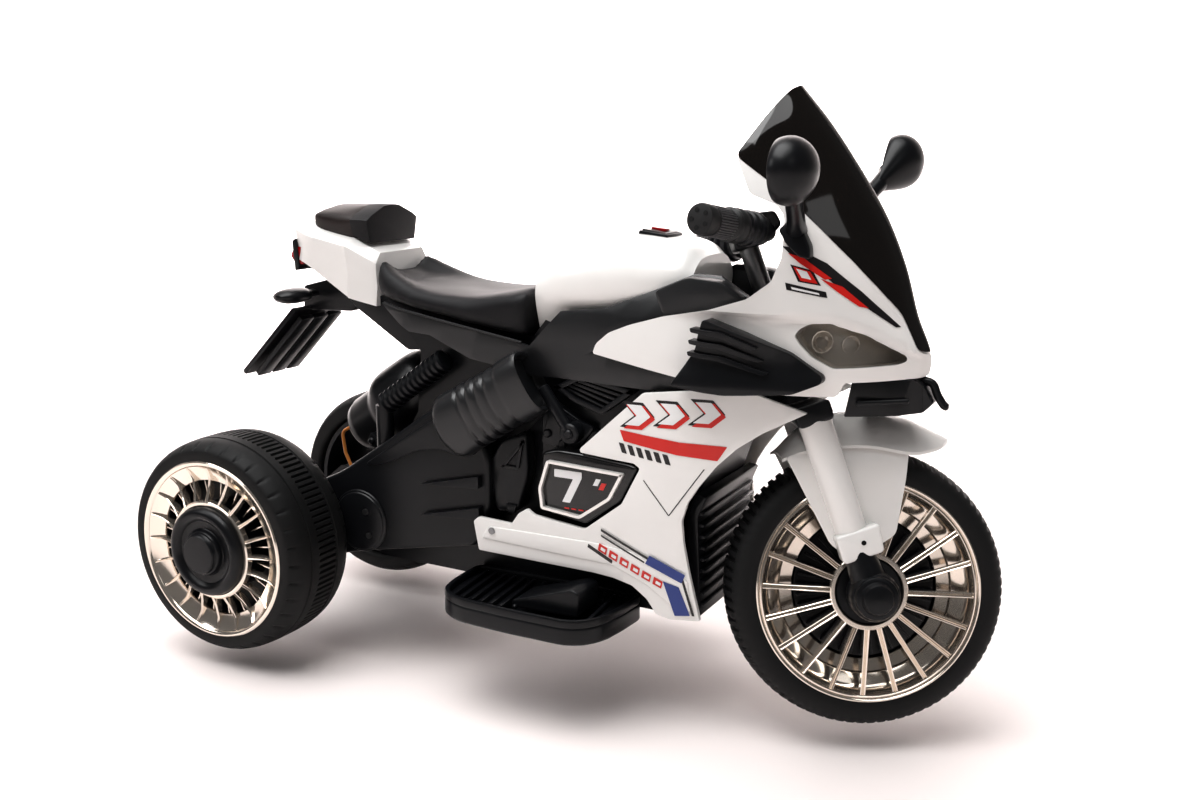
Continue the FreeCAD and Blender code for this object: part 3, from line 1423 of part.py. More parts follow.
def handlebar(lean):
    """The bars with their clamp on the stem, and the two grips."""
    size = float(S.clamp_size)
    clamp = doc.addObject("Part::Box", "bar_clamp")
    for prop in ("Length", "Width", "Height"):
        bind(clamp, prop, S.clamp_size)
    clamp.Placement = Placement(on_stem(S.clamp_height) + lean.multVec(Vector(-size / 2, -size / 2, 0)), lean)
    bars = [clamp]
    grips = []
    for hand, side in SIDES:
        root, bend, end = bar_line(side)
        way = (end - bend).normalize()
        grip_start = end - way * float(S.grip_length)
        knuckle = doc.addObject("Part::Sphere", f"{hand}_bar_knuckle")
        bind(knuckle, "Radius", S.grip_radius)
        knuckle.Placement = Placement(bend, Rotation())
        bars.append(slant_rod(f"{hand}_bar", S.bar_radius, root, bend))
        bars.append(knuckle)
        bars.append(slant_rod(f"{hand}_bar_core", S.bar_radius, bend, end - way * 2))
        bars.append(slant_rod(f"{hand}_control", S.grip_radius, bend, grip_start - way * float(S.seat_gap)))
        sleeve = slant_rod(f"{hand}_grip_sleeve", S.grip_radius, grip_start, end)
        hole = slant_rod(f"{hand}_grip_hole", S.bar_radius, grip_start - way, end - way * 2)
        grips.append(cut(f"{hand}_grip", sleeve, [hole]))
    seat = slant_rod("stem_seat", S.stem_radius, on_stem(S.clamp_height - 1), on_stem(S.stem_top))
    keep("handlebar", cut("handlebar_solid", fuse("bars_and_clamp", bars), [seat]), STEERED)
    keep("handlebar_grips", group("handlebar_grips_pair", grips), STEERED)


SHROUD = [(-96, 143), (31, 149), (22, 66), (-4, 48), (-27, 38), (-46, 50)]
GUARD_END = 148
GUARD_SWEEP = 90


def mudguard():
    """An arch over the tyre with a shroud and a ridge on each side, round the fork legs."""
    inner = S.front_tyre_radius + S.mudguard_gap
    half = S.mudguard_half_width
    sector = doc.addObject("Part::Cylinder", "mudguard_sector")
    bind(sector, "Radius", inner + S.mudguard_wall)
    bind(sector, "Height", half * 2)
    sector.Angle = GUARD_SWEEP
    turn = Rotation(Vector(0, 1, 0), -GUARD_END).multiply(AXIS_TURNS["y"])
    sector.Placement = Placement(Vector(0, -float(half), 0), turn)
    wheel_room = rod("mudguard_room", inner, (ZERO, -half - 1, ZERO), half * 2 + 2)
    pieces = [cut("mudguard_arch", sector, [wheel_room])]
    rooms = []
    for hand, side in SIDES:
        pieces.append(side_prism(f"{hand}_shroud", SHROUD, half - 1, half + S.shroud_wall, side))
        offset = Vector(0, side * float(S.fork_leg_offset), 0)
        top = float(S.crown_height) - 2
        pieces.append(slant_rod(f"{hand}_shroud_ridge", S.shroud_ridge_radius, offset + on_stem(46),
                                offset + on_stem(top)))
        rooms.append(slant_rod(f"{hand}_leg_room", S.fork_leg_radius + S.seat_gap, offset,
                               offset + on_stem(S.crown_height)))
    tyre_room = rod("mudguard_tyre_room", inner - 2, (ZERO, -half + 1, ZERO), half * 2 - 2)
    return cut("front_mudguard_solid", fuse("mudguard_form", pieces), rooms + [tyre_room])


# Canister, damper, lead and screws
LEAD_ROUTE = [(104, 141), (58, 116), (62, 88), (75, 62), (75, 28)]
LEAD_SIDE = -30
LEAD_BEND = 10


def bent_cord(points, radius, bend):
    """A cord through points, straight between round bends."""
    edges = []
    start = points[0]
    for before, corner, after in zip(points, points[1:], points[2:]):
        back = (before - corner).normalize()
        ahead = (after - corner).normalize()
        half = math.acos(back.dot(ahead)) / 2
        run = bend / math.tan(half)
        enter = corner + back * run
        leave = corner + ahead * run
        middle = corner + (back + ahead).normalize() * (bend / math.sin(half) - bend)
        edges.append(Part.LineSegment(start, enter).toShape())
        edges.append(Part.Arc(enter, middle, leave).toShape())
        start = leave
    edges.append(Part.LineSegment(start, points[-1]).toShape())
    path = Part.Wire(edges)
    ring = Part.Wire([Part.Circle(points[0], points[1] - points[0], radius).toShape()])
    return path.makePipeShell([ring], True, False)


def rear_trim():
    """Canister behind the seat post, dummy dampers, the motor's lead and the screws."""
    axis = Vector(0.84, 0, 0.5426)
    middle = Vector(float(REAR_X) + 138, 0, float(REAR_Z) + 158)
    radius = S.canister_radius
    form = turned("canister_form", [
        (ZERO, -64), (radius * 0.45, -64), (radius * 0.78, -50), (radius * 0.82, -16), (radius * 1.06, -15),
        (radius * 1.06, -7), (radius, -6), (radius, 34), (radius * 0.7, 56), (radius * 0.36, 62),
        (radius * 0.36, 100), (ZERO, 100)])
    form.Placement = Placement(middle, Rotation(Vector(0, 1, 0), axis))
    tub_room = wide_prism("canister_tub_room", TUB_OUTLINE, S.tub_half_width)
    tray_room = wide_prism("canister_tray_room", UNDERTRAY, S.undertray_half_width)
    canister = keep("rear_canister", cut("rear_canister_solid", form, [tub_room, tray_room]))
    dampers = []
    length = 112
    pitch = length / DAMPER_RIBS
    for hand, side in SIDES:
        rib = S.damper_radius
        neck = S.damper_radius - S.damper_rib_depth
        section = [(ZERO, ZERO)]
        for step in range(DAMPER_RIBS):
            section += [(neck, step * pitch), (neck, (step + 0.3) * pitch), (rib, (step + 0.5) * pitch),
                        (rib, (step + 0.8) * pitch)]
        section += [(neck, measure(length)), (ZERO, measure(length))]
        column = turned(f"{hand}_damper_column", section)
        y = side * (float(S.tub_half_width) + float(S.damper_radius) + float(S.seat_gap))
        start = Vector(float(REAR_X) + 165, y, float(REAR_Z) + 172)
        column.Placement = Placement(start, Rotation(Vector(0, 1, 0), Vector(0.82, 0, 0.572)))
        foot = slant_rod(f"{hand}_damper_foot", neck, start, Vector(start.x, y, float(REAR_Z) + 100))
        arm_room = side_prism(f"{hand}_damper_arm_room", ARM_OUTLINE, S.tub_half_width, ARM_OUTER, side)
        dampers.append(cut(f"{hand}_damper", fuse(f"{hand}_damper_form", [column, foot]), [arm_room]))
    keep("dummy_dampers", group("dummy_dampers_pair", dampers))
    lead_points = [Vector(float(REAR_X) + along, LEAD_SIDE, float(REAR_Z) + up) for along, up in LEAD_ROUTE]
    lead = shaped("motor_lead_form", bent_cord(lead_points, float(S.lead_radius), LEAD_BEND))
    keep("motor_lead", cut("motor_lead_solid", lead, [canister]))
    screws = []
    places = [(CAP_SPOT[0] + 12, CAP_SPOT[1] + 14), (CAP_SPOT[0] + 16, CAP_SPOT[1] - 16)]
    head = S.screw_height
    cap_face = ARM_OUTER + S.gearbox_cap_depth
    for place in places:
        screws.append(rod("cap_screw", S.screw_radius, (place[0], -cap_face - head, place[1]), head))
    plate_face = S.fairing_half_width
    for hand, side in SIDES:
        start = plate_face if side == LEFT else -plate_face - head
        spot = rear(345, 48)
        screws.append(rod(f"{hand}_fairing_screw", S.screw_radius, (spot[0], start, spot[1]), head))
    keep("body_screws", group("body_screws_set", screws))


front_wheel()
rear_wheel("right", RIGHT)
rear_wheel("left", LEFT)
drive()
chassis()
rear_arms()
centre_panels()
side_fairings()
engine_sides()
air_ducts()
seat()
pillion_pad()
tail()
tank()
nose()
mirrors()
footboards()
fork()
rear_trim()
doc.recompute()

# Every object has to be sound before anything is written
for item in doc.Objects:
    if "Invalid" in item.State or "Error" in item.State:
        raise RuntimeError(f"{item.Label} failed: {item.State}")
for piece in PARTS:
    if piece.Shape.isNull() or not piece.Shape.isValid():
        raise RuntimeError(f"{piece.Label} has no sound shape")
os.makedirs("parts", exist_ok=True)
for piece in PARTS:
    piece.Shape.exportStep(f"parts/{piece.Label}.step")
print(len(PARTS), "sub-parts written")
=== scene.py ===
"""Looks of a child's battery motorbike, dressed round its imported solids.

Lengths in the classes are millimetres. Points on the body are (u, y, z): u forward of the rear
axle, y to the rider's left and z above the floor. Points on the fork are drawn straight ahead
about the front axle and then turned with the fork.
"""
import json
import logging
import math
from collections.abc import Callable, Iterable, Sequence
from dataclasses import dataclass
from enum import Enum

import bmesh
import bpy
from mathutils import Matrix, Vector
from mathutils.bvhtree import BVHTree


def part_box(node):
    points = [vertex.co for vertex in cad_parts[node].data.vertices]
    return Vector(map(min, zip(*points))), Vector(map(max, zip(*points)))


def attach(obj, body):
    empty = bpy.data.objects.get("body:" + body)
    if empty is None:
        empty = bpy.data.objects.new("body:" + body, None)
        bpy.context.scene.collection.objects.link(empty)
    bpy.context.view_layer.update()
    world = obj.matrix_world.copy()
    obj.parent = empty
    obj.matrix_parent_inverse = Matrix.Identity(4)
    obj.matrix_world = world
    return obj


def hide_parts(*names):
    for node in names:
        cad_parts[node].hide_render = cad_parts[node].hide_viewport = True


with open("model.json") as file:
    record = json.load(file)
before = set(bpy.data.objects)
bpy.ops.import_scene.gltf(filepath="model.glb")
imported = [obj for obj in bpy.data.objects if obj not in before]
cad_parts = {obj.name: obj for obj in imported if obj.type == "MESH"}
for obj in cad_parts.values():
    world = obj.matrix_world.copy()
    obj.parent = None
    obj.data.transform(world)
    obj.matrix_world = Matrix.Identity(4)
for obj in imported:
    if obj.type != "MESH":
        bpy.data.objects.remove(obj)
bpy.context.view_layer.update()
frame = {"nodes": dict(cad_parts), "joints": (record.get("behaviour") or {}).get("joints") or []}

MM = 0.001
LOG = logging.getLogger("motorbike")
Point = tuple[float, float]
Place = tuple[float, float, float]
Shape = bmesh.types.BMesh
# Vertices nearer than this are one, in millimetres
WELD = 0.002
# A vertex this near to a cutting plane lies on it, in millimetres
CUT_REACH = 0.001
CORNER_STEPS = 4
# A profile starts this far from the axis that it is turned round
AXIS = 0.01
# Share by which the roughness varies over a surface
UNEVEN = 0.15
COAT_ROUGH = 0.05
STEERING = "steering"


def joint(name: str) -> dict:
    """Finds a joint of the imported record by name."""
    return next(item for item in frame["joints"] if item["name"] == name)


REAR_LOW, REAR_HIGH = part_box("rear_axle")
REAR_X = (REAR_LOW.x + REAR_HIGH.x) / 2 / MM
REAR_Z = (REAR_LOW.z + REAR_HIGH.z) / 2 / MM
FRONT = Vector(joint("steering_turn")["pos_m"]) / MM
STEER_AXIS = Vector(joint("steering_turn")["axis"])
WHEEL_AXIS = Vector(joint("front_wheel_spin")["axis"])
FLAT_AXIS = Vector((0, 1, 0)) - STEER_AXIS * STEER_AXIS.y
STEER_ANGLE = FLAT_AXIS.angle(WHEEL_AXIS - STEER_AXIS * WHEEL_AXIS.dot(STEER_AXIS))
SCALE = Matrix.Scale(MM, 4)
BODY = SCALE @ Matrix.Translation((REAR_X, 0, 0))
FORK = SCALE @ Matrix.Translation(FRONT) @ Matrix.Rotation(STEER_ANGLE, 4, STEER_AXIS)
FRONT_U = FRONT.x - REAR_X


class Side(Enum):
    """The bike's two sides, with the sign of their Y."""

    RIGHT = -1
    LEFT = 1


class Texture(Enum):
    """What the surface's fine relief looks like."""

    MOULD_GRAIN = "grain"
    LEATHER_GRAIN = "leather"
    ORANGE_PEEL = "peel"


def srgb(code: str) -> tuple[float, float, float, float]:
    """Turns an sRGB hex colour to linear.

    Args:
        code: six hex digits.

    Returns:
        Linear red, green and blue with full alpha.
    """
    values = [int(code[i:i + 2], 16) / 255 for i in (0, 2, 4)]
    linear = [v / 12.92 if v <= 0.04045 else ((v + 0.055) / 1.055) ** 2.4 for v in values]
    return (*linear, 1.0)


def add_node(tree: bpy.types.NodeTree, kind: str, values: dict | None = None, links: dict | None = None,
             **settings: object) -> bpy.types.Node:
    """Adds a node with its settings, socket values and incoming links.

    Args:
        tree: the material's node tree.
        kind: the node's type name.
        values: socket values by input name or place.
        links: output sockets by input name or place.
        settings: node properties.

    Returns:
        The new node.
    """
    node = tree.nodes.new(kind)
    for key, value in settings.items():
        setattr(node, key, value)
    for key, value in (values or {}).items():
        node.inputs[key].default_value = value
    for key, socket in (links or {}).items():
        tree.links.new(socket, node.inputs[key])
    return node


@dataclass(frozen=True)
class Finish:
    """A real material and how its surface was made.

    Attributes:
        name: what it is.
        base: main colour.
        tint: second colour of its faint mottling.
        rough: roughness.
        texture: kind of fine relief.
        grain: size of the relief's grains in millimetres.
        depth: height of the relief in millimetres.
        metal: metallic share.
        coat: clear gloss layer.
        cover: share of the surface that hides what lies behind it.
        ior: index of refraction.
        mottle: size of the mottling in millimetres.
    """

    name: str
    base: str
    tint: str
    rough: float
    texture: Texture = Texture.MOULD_GRAIN
    grain: float = 0.8
    depth: float = 0.05
    metal: float = 0.0
    coat: float = 0.0
    cover: float = 1.0
    ior: float = 1.5
    mottle: float = 60.0

    def build(self) -> bpy.types.Material:
        """Makes the node material, or finds the one made before."""
        known = bpy.data.materials.get(self.name)
        if known:
            return known
        material = bpy.data.materials.new(self.name)
        material.use_nodes = True
        tree = material.node_tree
        shader = tree.nodes["Principled BSDF"]
        place = add_node(tree, "ShaderNodeTexCoord").outputs["Object"]
        cloud = add_node(tree, "ShaderNodeTexNoise", {"Scale": 1 / (self.mottle * MM), "Detail": 4.0},
                         {"Vector": place})
        colour = add_node(tree, "ShaderNodeMix", {6: srgb(self.base), 7: srgb(self.tint)},
                          {0: cloud.outputs[0]}, data_type="RGBA")
        tree.links.new(colour.outputs[2], shader.inputs["Base Color"])
        spread = add_node(
            tree, "ShaderNodeMapRange",
            {"To Min": self.rough * (1 - UNEVEN), "To Max": min(self.rough * (1 + UNEVEN), 1.0)},
            {"Value": cloud.outputs[0]})
        tree.links.new(spread.outputs[0], shader.inputs["Roughness"])
        fine = 1 / (self.grain * MM)
        if self.texture is Texture.LEATHER_GRAIN:
            relief = add_node(tree, "ShaderNodeTexVoronoi", {"Scale": fine}, {"Vector": place},
                              feature="SMOOTH_F1")
        else:
            detail = 1.0 if self.texture is Texture.ORANGE_PEEL else 3.0
            relief = add_node(
                tree, "ShaderNodeTexNoise", {"Scale": fine, "Detail": detail}, {"Vector": place})
        bump = add_node(tree, "ShaderNodeBump", {"Strength": 1.0, "Distance": self.depth * MM},
                        {"Height": relief.outputs[0]})
        tree.links.new(bump.outputs[0], shader.inputs["Normal"])
        plain = {
            "Metallic": self.metal,
            "IOR": self.ior,
            "Coat Weight": self.coat,
            "Coat Roughness": COAT_ROUGH,
            "Alpha": self.cover}
        for socket, value in plain.items():
            shader.inputs[socket].default_value = value
        return material


# Injection-moulded gloss ABS: bright white, with soft reflections and a trace of orange peel
WHITE_ABS = Finish("white_abs_gloss", "F4F3F1", "EFEDEA", 0.2, Texture.ORANGE_PEEL, 9.0, 0.02, coat=0.35)
# Black polypropylene out of a spark-eroded mould: satin, with a fine even grain
BLACK_PP = Finish("black_polypropylene_grained", "101113", "15161A", 0.3, grain=0.9, depth=0.025, ior=1.38)
# The blow-moulded ducts and knee panels of it: duller, with broad soft highlights
BLOWN_PP = Finish("black_polypropylene_blown", "141517", "191A1D", 0.36, grain=1.2, depth=0.03, ior=1.6)
# The same plastic from a polished mould
BLACK_GLOSS = Finish("black_abs_gloss", "0B0B0C", "101011", 0.16, Texture.ORANGE_PEEL, 8.0, 0.015, coat=0.3)
# Blow-moulded EVA tyre: dull black with a faint dusty bloom
EVA_TYRE = Finish("black_eva_tyre", "0D0D0E", "131314", 0.6, grain=1.1, depth=0.06, mottle=35.0, ior=1.38)
# Vacuum-plated chrome on ABS: slightly warm mirror with the wave of the moulding under it
PLATED_CHROME = Finish(
    "plated_chrome_on_abs", "F3EAE0", "E8DDD0", 0.12, Texture.ORANGE_PEEL, 14.0, 0.01, metal=0.9)
# The number plates' frames are a duller, whiter plating
SATIN_CHROME = Finish(
    "satin_chrome_on_abs", "F6F4F1", "EFECE8", 0.3, Texture.ORANGE_PEEL, 14.0, 0.01, metal=0.5)
# Embossed PVC leathercloth on foam: soft black sheen broken by pebble grain
LEATHERCLOTH = Finish(
    "black_pvc_leathercloth", "151517", "1B1A1D", 0.5, Texture.LEATHER_GRAIN, 1.5, 0.12, ior=1.36)
# The pillion pad's cloth is browner
PAD_CLOTH = Finish(
    "brown_black_pvc_leathercloth", "221A19", "2A211F", 0.42, Texture.LEATHER_GRAIN, 1.4, 0.1, ior=1.4)
# Smoked acrylic: near-black brown glaze
SMOKED = Finish("smoked_acrylic", "0E0A08", "120D0A", 0.05, Texture.ORANGE_PEEL, 20.0, 0.01, coat=0.5)
# Clear polycarbonate lens
CLEAR_PC = Finish(
    "clear_polycarbonate", "4A4743", "45423F", 0.03, Texture.ORANGE_PEEL, 25.0, 0.01, coat=0.6, cover=0.2,
    ior=1.58)
# Vacuum-metallised reflector
REFLECTOR = Finish(
    "metallised_reflector", "D8D1C6", "C6BEB2", 0.26, Texture.ORANGE_PEEL, 6.0, 0.04, metal=0.5)
# Red acrylic lamp lens
RED_LENS = Finish("red_acrylic", "A80F16", "8C0A10", 0.12, Texture.ORANGE_PEEL, 5.0, 0.03, coat=0.4)
# Soft PVC of the grips
GRIP_PVC = Finish("black_soft_pvc", "141415", "1A1A1B", 0.5, grain=0.7, depth=0.05)
# The grips' ribbed bands are a greyer grade
GREY_PVC = Finish("grey_soft_pvc", "4A4A4C", "525254", 0.5, grain=0.7, depth=0.04)
# Zinc-plated steel of axles and screws
ZINC = Finish("zinc_plated_steel", "8E8F90", "7C7D7F", 0.32, grain=0.5, depth=0.02, metal=1.0)
# Silvered mirror
MIRROR = Finish(
    "silvered_acrylic_mirror", "DADCDD", "D4D6D8", 0.03, Texture.ORANGE_PEEL, 30.0, 0.004, metal=1.0)
# Natural nylon of the gears
NYLON = Finish("natural_nylon", "D8D2C2", "CFC8B6", 0.45, grain=0.6, depth=0.02)
# Fibreglass circuit card
CARD = Finish("green_circuit_card", "1F5A34", "194B2B", 0.35, grain=0.6, depth=0.02)
# PVC insulation of the lead
WIRE_PVC = Finish("orange_wire_pvc", "E0924A", "D6853C", 0.38, grain=0.6, depth=0.01)


def vinyl(colour: str, base: str, tint: str) -> Finish:
    """A screen-printed vinyl sticker of one colour."""
    return Finish(f"{colour}_vinyl_sticker", base, tint, 0.3, Texture.ORANGE_PEEL, 12.0, 0.005, coat=0.2)


STICKER_RED = vinyl("red", "D8261C", "CF2219")
STICKER_BLACK = vinyl("black", "161214", "1B1719")
STICKER_BLUE = vinyl("blue", "28408C", "243A80")
STICKER_WHITE = vinyl("white", "F2F2F2", "ECECEC")

NODE_FINISHES: dict[Finish, tuple[str, ...]] = {
    WHITE_ABS: ("side_fairings", "tank_cover", "tail_cover", "front_fairing", "front_mudguard"),
    BLACK_PP: (
        "chassis_tub", "centre_panels", "tail_undertray", "plate_bracket", "rear_arms", "rear_canister",
        "dummy_dampers", "air_ducts", "right_footboard", "left_footboard", "mirrors", "winglets",
        "chin_guard", "radiator_panel", "engine_covers", "gearbox_cap", "throttle_pedal", "dash_panel",
        "fork_legs", "fork_crown", "handlebar", "front_hub", "right_rear_hub", "left_rear_hub",
        "charge_socket", "gearbox_plate", "left_axle_plate", "turn_signals", "switch_rocker", "battery"),
    BLACK_GLOSS: ("number_plates",),
    EVA_TYRE: ("front_tyre", "right_rear_tyre", "left_rear_tyre"),
    PLATED_CHROME: ("front_rims", "right_rear_rim", "left_rear_rim", "number_plate_frames"),
    LEATHERCLOTH: ("seat_cushion",),
    PAD_CLOTH: ("pillion_pad",),
    GRIP_PVC: ("handlebar_grips",),
    SMOKED: ("windscreen",),
    CLEAR_PC: ("headlight_lenses",),
    RED_LENS: ("tail_light",),
    MIRROR: ("mirror_glasses",),
    ZINC: ("rear_axle", "front_axle", "steering_stem", "body_screws", "drive_motor"),
    NYLON: ("output_gear", "idler_gear", "motor_pinion"),
    CARD: ("control_board",),
    WIRE_PVC: ("motor_lead",)}


def dress_nodes() -> None:
    """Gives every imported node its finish."""
    for finish, names in NODE_FINISHES.items():
        material = finish.build()
        for name in names:
            mesh = frame["nodes"][name].data
            mesh.materials.clear()
            mesh.materials.append(material)


def linked(name: str, data: bpy.types.ID) -> bpy.types.Object:
    """Puts an object with its data in the scene."""
    thing = bpy.data.objects.new(name, data)
    bpy.context.scene.collection.objects.link(thing)
    return thing


def shown(bm: Shape, name: str) -> bpy.types.Object:
    """Puts a mesh in the scene as an object and frees it."""
    mesh = bpy.data.meshes.new(name)
    bm.to_mesh(mesh)
    bm.free()
    return linked(name, mesh)


def smoothed(bm: Shape) -> Shape:
    """Shades all faces smooth."""
    for face in bm.faces:
        face.smooth = True
    return bm


def only(geom: Iterable, kind: type) -> list:
    """The items of one kind among what an operator gave back."""
    return [item for item in geom if isinstance(item, kind)]


def everything(bm: Shape) -> list:
    """All vertices, edges and faces of a mesh."""
    return bm.verts[:] + bm.edges[:] + bm.faces[:]


@dataclass(frozen=True)
class Mould:
    """How a finished mesh becomes a piece of the bike.

    Attributes:
        name: the piece's name.
        finish: its finish.
        slot: the record's material slot; not used.
        node: the CAD node that it stands for, if there is one.
        body: the CAD body that it rides on.
        sharp: edges over this angle in degrees stay sharp.
    """

    name: str
    finish: Finish
    slot: str
    node: str = ""
    body: str = "chassis"
    sharp: float = 32.0

    def cast(self, bm: Shape, place: Matrix = BODY) -> bpy.types.Object:
        """Writes a bmesh in millimetres to an object in the shared frame.

        Args:
            bm: the shape; it is freed.
            place: the way from its own frame to metres in the shared frame.

        Returns:
            The new piece, riding on its body.
        """
        bm.transform(place)
        piece = shown(smoothed(bm), self.name)
        piece.data.set_sharp_from_angle(angle=math.radians(self.sharp))
        piece.data.materials.append(self.finish.build())
        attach(piece, self.body)
        if self.node:
            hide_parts(self.node)
        LOG.info("%s: %d faces", self.name, len(piece.data.polygons))
        return piece


def tidy_normals(bm: Shape) -> None:
    """Merges doubled vertices and turns the faces outwards."""
    bmesh.ops.remove_doubles(bm, verts=bm.verts[:], dist=WELD)
    bmesh.ops.recalc_face_normals(bm, faces=bm.faces[:])


def round_edges(bm: Shape, width: float, segments: int = 2, angle: float = 35.0) -> None:
    """Bevels the edges that turn by more than an angle.

    Args:
        bm: the shape.
        width: width of the round in millimetres.
        segments: steps across the round.
        angle: least turn in degrees.
    """
    limit = math.radians(angle)
    edges = [e for e in bm.edges if len(e.link_faces) == 2 and e.calc_face_angle(0.0) > limit]
    bmesh.ops.bevel(bm, geom=edges, offset=width, offset_type="OFFSET", affect="EDGES", segments=segments,
                    profile=0.5, material=-1, clamp_overlap=True)


def flat_face(bm: Shape, outline: Sequence[Point], level: float, corner: float = 0.0) -> bmesh.types.BMFace:
    """Draws a side-view outline as one face on a plane across Y.

    Args:
        bm: the mesh to draw in.
        outline: corners as (u, z).
        level: place on Y.
        corner: radius of the rounded corners.

    Returns:
        The face.
    """
    verts = [bm.verts.new((u, level, z)) for u, z in outline]
    face = bm.faces.new(verts)
    if corner:
        bmesh.ops.bevel(bm, geom=verts, offset=corner, offset_type="OFFSET", affect="VERTICES",
                        segments=CORNER_STEPS, profile=0.5, material=-1, clamp_overlap=True)
        bm.faces.ensure_lookup_table()
        face = bm.faces[-1]
    return face


def thicken(bm: Shape, way: Place) -> None:
    """Draws all faces out along a way, so that a sheet gets a thickness."""
    grown = bmesh.ops.extrude_face_region(bm, geom=bm.faces[:])["geom"]
    bmesh.ops.translate(bm, verts=only(grown, bmesh.types.BMVert), vec=way)
    tidy_normals(bm)


def plate(outline: Sequence[Point], near: float, far: float, corner: float = 0.0, edge: float = 0.0,
          segments: int = 2) -> Shape:
    """A moulded plate with a side-view outline between two places on Y, edges rounded."""
    bm = bmesh.new()
    flat_face(bm, outline, near, corner)
    thicken(bm, (0, far - near, 0))
    if edge:
        round_edges(bm, edge, segments)
    return bm


def slice_up(bm: Shape, stations: Iterable[float], axis: int) -> None:
    """Cuts a mesh by planes across an axis, so that it can be bent."""
    normal = Vector((0, 0, 0))
    normal[axis] = 1.0
    for station in stations:
        bmesh.ops.bisect_plane(
            bm, geom=everything(bm), dist=CUT_REACH, plane_co=normal * station, plane_no=normal)


def bend(bm: Shape, shift: Callable[[Vector], float]) -> None:
    """Moves each vertex along Y by a function of its place."""
    for vert in bm.verts:
        vert.co.y += shift(vert.co)


def merge(parts: Sequence[Shape]) -> Shape:
    """Joins several meshes to one, keeping their parts separate; the others are freed."""
    whole = parts[0]
    for part in parts[1:]:
        spare = bpy.data.meshes.new("spare")
        part.to_mesh(spare)
        part.free()
        whole.from_mesh(spare)
        bpy.data.meshes.remove(spare)
    return whole


def both_sides(bm: Shape) -> Shape:
    """Adds the mirror image across the centre plane."""
    copy = bmesh.ops.duplicate(bm, geom=everything(bm))["geom"]
    bmesh.ops.scale(bm, vec=(1, -1, 1), verts=only(copy, bmesh.types.BMVert))
    bmesh.ops.reverse_faces(bm, faces=only(copy, bmesh.types.BMFace))
    return bm


def chain(bm: Shape, points: Iterable[Sequence[float]], closed: bool = False) -> list[bmesh.types.BMEdge]:
    """Draws a line of edges through points and gives the edges."""
    verts = [bm.verts.new(point) for point in points]
    pairs = list(zip(verts, verts[1:]))
    if closed:
        pairs.append((verts[-1], verts[0]))
    return [bm.edges.new(pair) for pair in pairs]


def skin(rows: Sequence[Sequence[Sequence[float]]], caps: bool = True) -> Shape:
    """A surface through rings of points with equal counts.

    Args:
        rows: the rings.
        caps: whether the first and last rings are filled.

    Returns:
        The surface with its faces outwards where it is closed.
    """
    bm = bmesh.new()
    lines = [chain(bm, row, closed=True) for row in rows]
    for here, there in zip(lines, lines[1:]):
        bmesh.ops.bridge_loops(bm, edges=here + there)
    if caps:
        bmesh.ops.holes_fill(bm, edges=lines[0] + lines[-1], sides=0)
    tidy_normals(bm)
    return bm


def turned(profile: Sequence[Point], steps: int = 96) -> Shape:
    """Turns a profile of (radius, place on Y) round the Y axis."""
    bm = bmesh.new()
    edges = chain(bm, [(radius, along, 0.0) for radius, along in profile], closed=True)
    verts = [vert for edge in edges for vert in edge.verts]
    geom = list(dict.fromkeys(verts)) + edges
    bmesh.ops.spin(
        bm, geom=geom, cent=(0, 0, 0), axis=(0, 1, 0), dvec=(0, 0, 0), angle=math.tau, steps=steps,
        use_merge=True, use_duplicate=False)
    tidy_normals(bm)
    return bm


def ring_copies(bm: Shape, count: int) -> None:
    """Repeats a sector of a wheel round the Y axis."""
    bmesh.ops.spin(
        bm, geom=everything(bm), cent=(0, 0, 0), axis=(0, 1, 0), dvec=(0, 0, 0),
        angle=math.tau * (count - 1) / count, steps=count - 1, use_merge=False, use_duplicate=True)


def smooth_line(points: Sequence[Sequence[float]], steps: int) -> list[Vector]:
    """A smooth line through points, as a Catmull-Rom curve.

    Args:
        points: the points that it passes.
        steps: pieces between two points.

    Returns:
        The points along the line.
    """
    knots = [Vector(point) for point in points]
    line = []
    for i, (b, c) in enumerate(zip(knots, knots[1:])):
        a = knots[i - 1] if i else b * 2 - c
        d = knots[i + 2] if i + 2 < len(knots) else c * 2 - b
        for step in range(steps):
            t = step / steps
            line.append(0.5 * (2 * b + (c - a) * t + (2 * a - 5 * b + 4 * c - d) * t**2
                               + (3 * b - 3 * c + d - a) * t**3))
    line.append(knots[-1])
    return line


def refined(rows: Sequence[Sequence[Vector]], steps: int) -> list[list[Vector]]:
    """Adds rows between rows of points, on smooth lines from row to row."""
    columns = [smooth_line(column, steps) for column in zip(*rows)]
    return [list(row) for row in zip(*columns)]


def grid_skin(rows: Sequence[Sequence[Sequence[float]]], along: int, across: int) -> list[list[Vector]]:
    """Refines rows of points to a smooth grid, along each row and from row to row."""
    return refined([smooth_line(row, along) for row in rows], across)


def right_row(u: float, points: Sequence[Point], floor: float = 0.0) -> list[Vector]:
    """Points of a section across the bike, given as half-width and height over a floor."""
    return [Vector((u, -wide, floor + up)) for wide, up in points]


def ring_across(half: Sequence[Vector], shared: int = 0) -> list[Vector]:
    """A ring over both sides: one side's points, and back along their mirror images.

    Args:
        half: the one side's points.
        shared: how many of them, at the end, lie on the centre plane.

    Returns:
        The points of the ring.
    """
    return [*half, *(Vector((p.x, -p.y, p.z)) for p in reversed(half[:len(half) - shared]))]


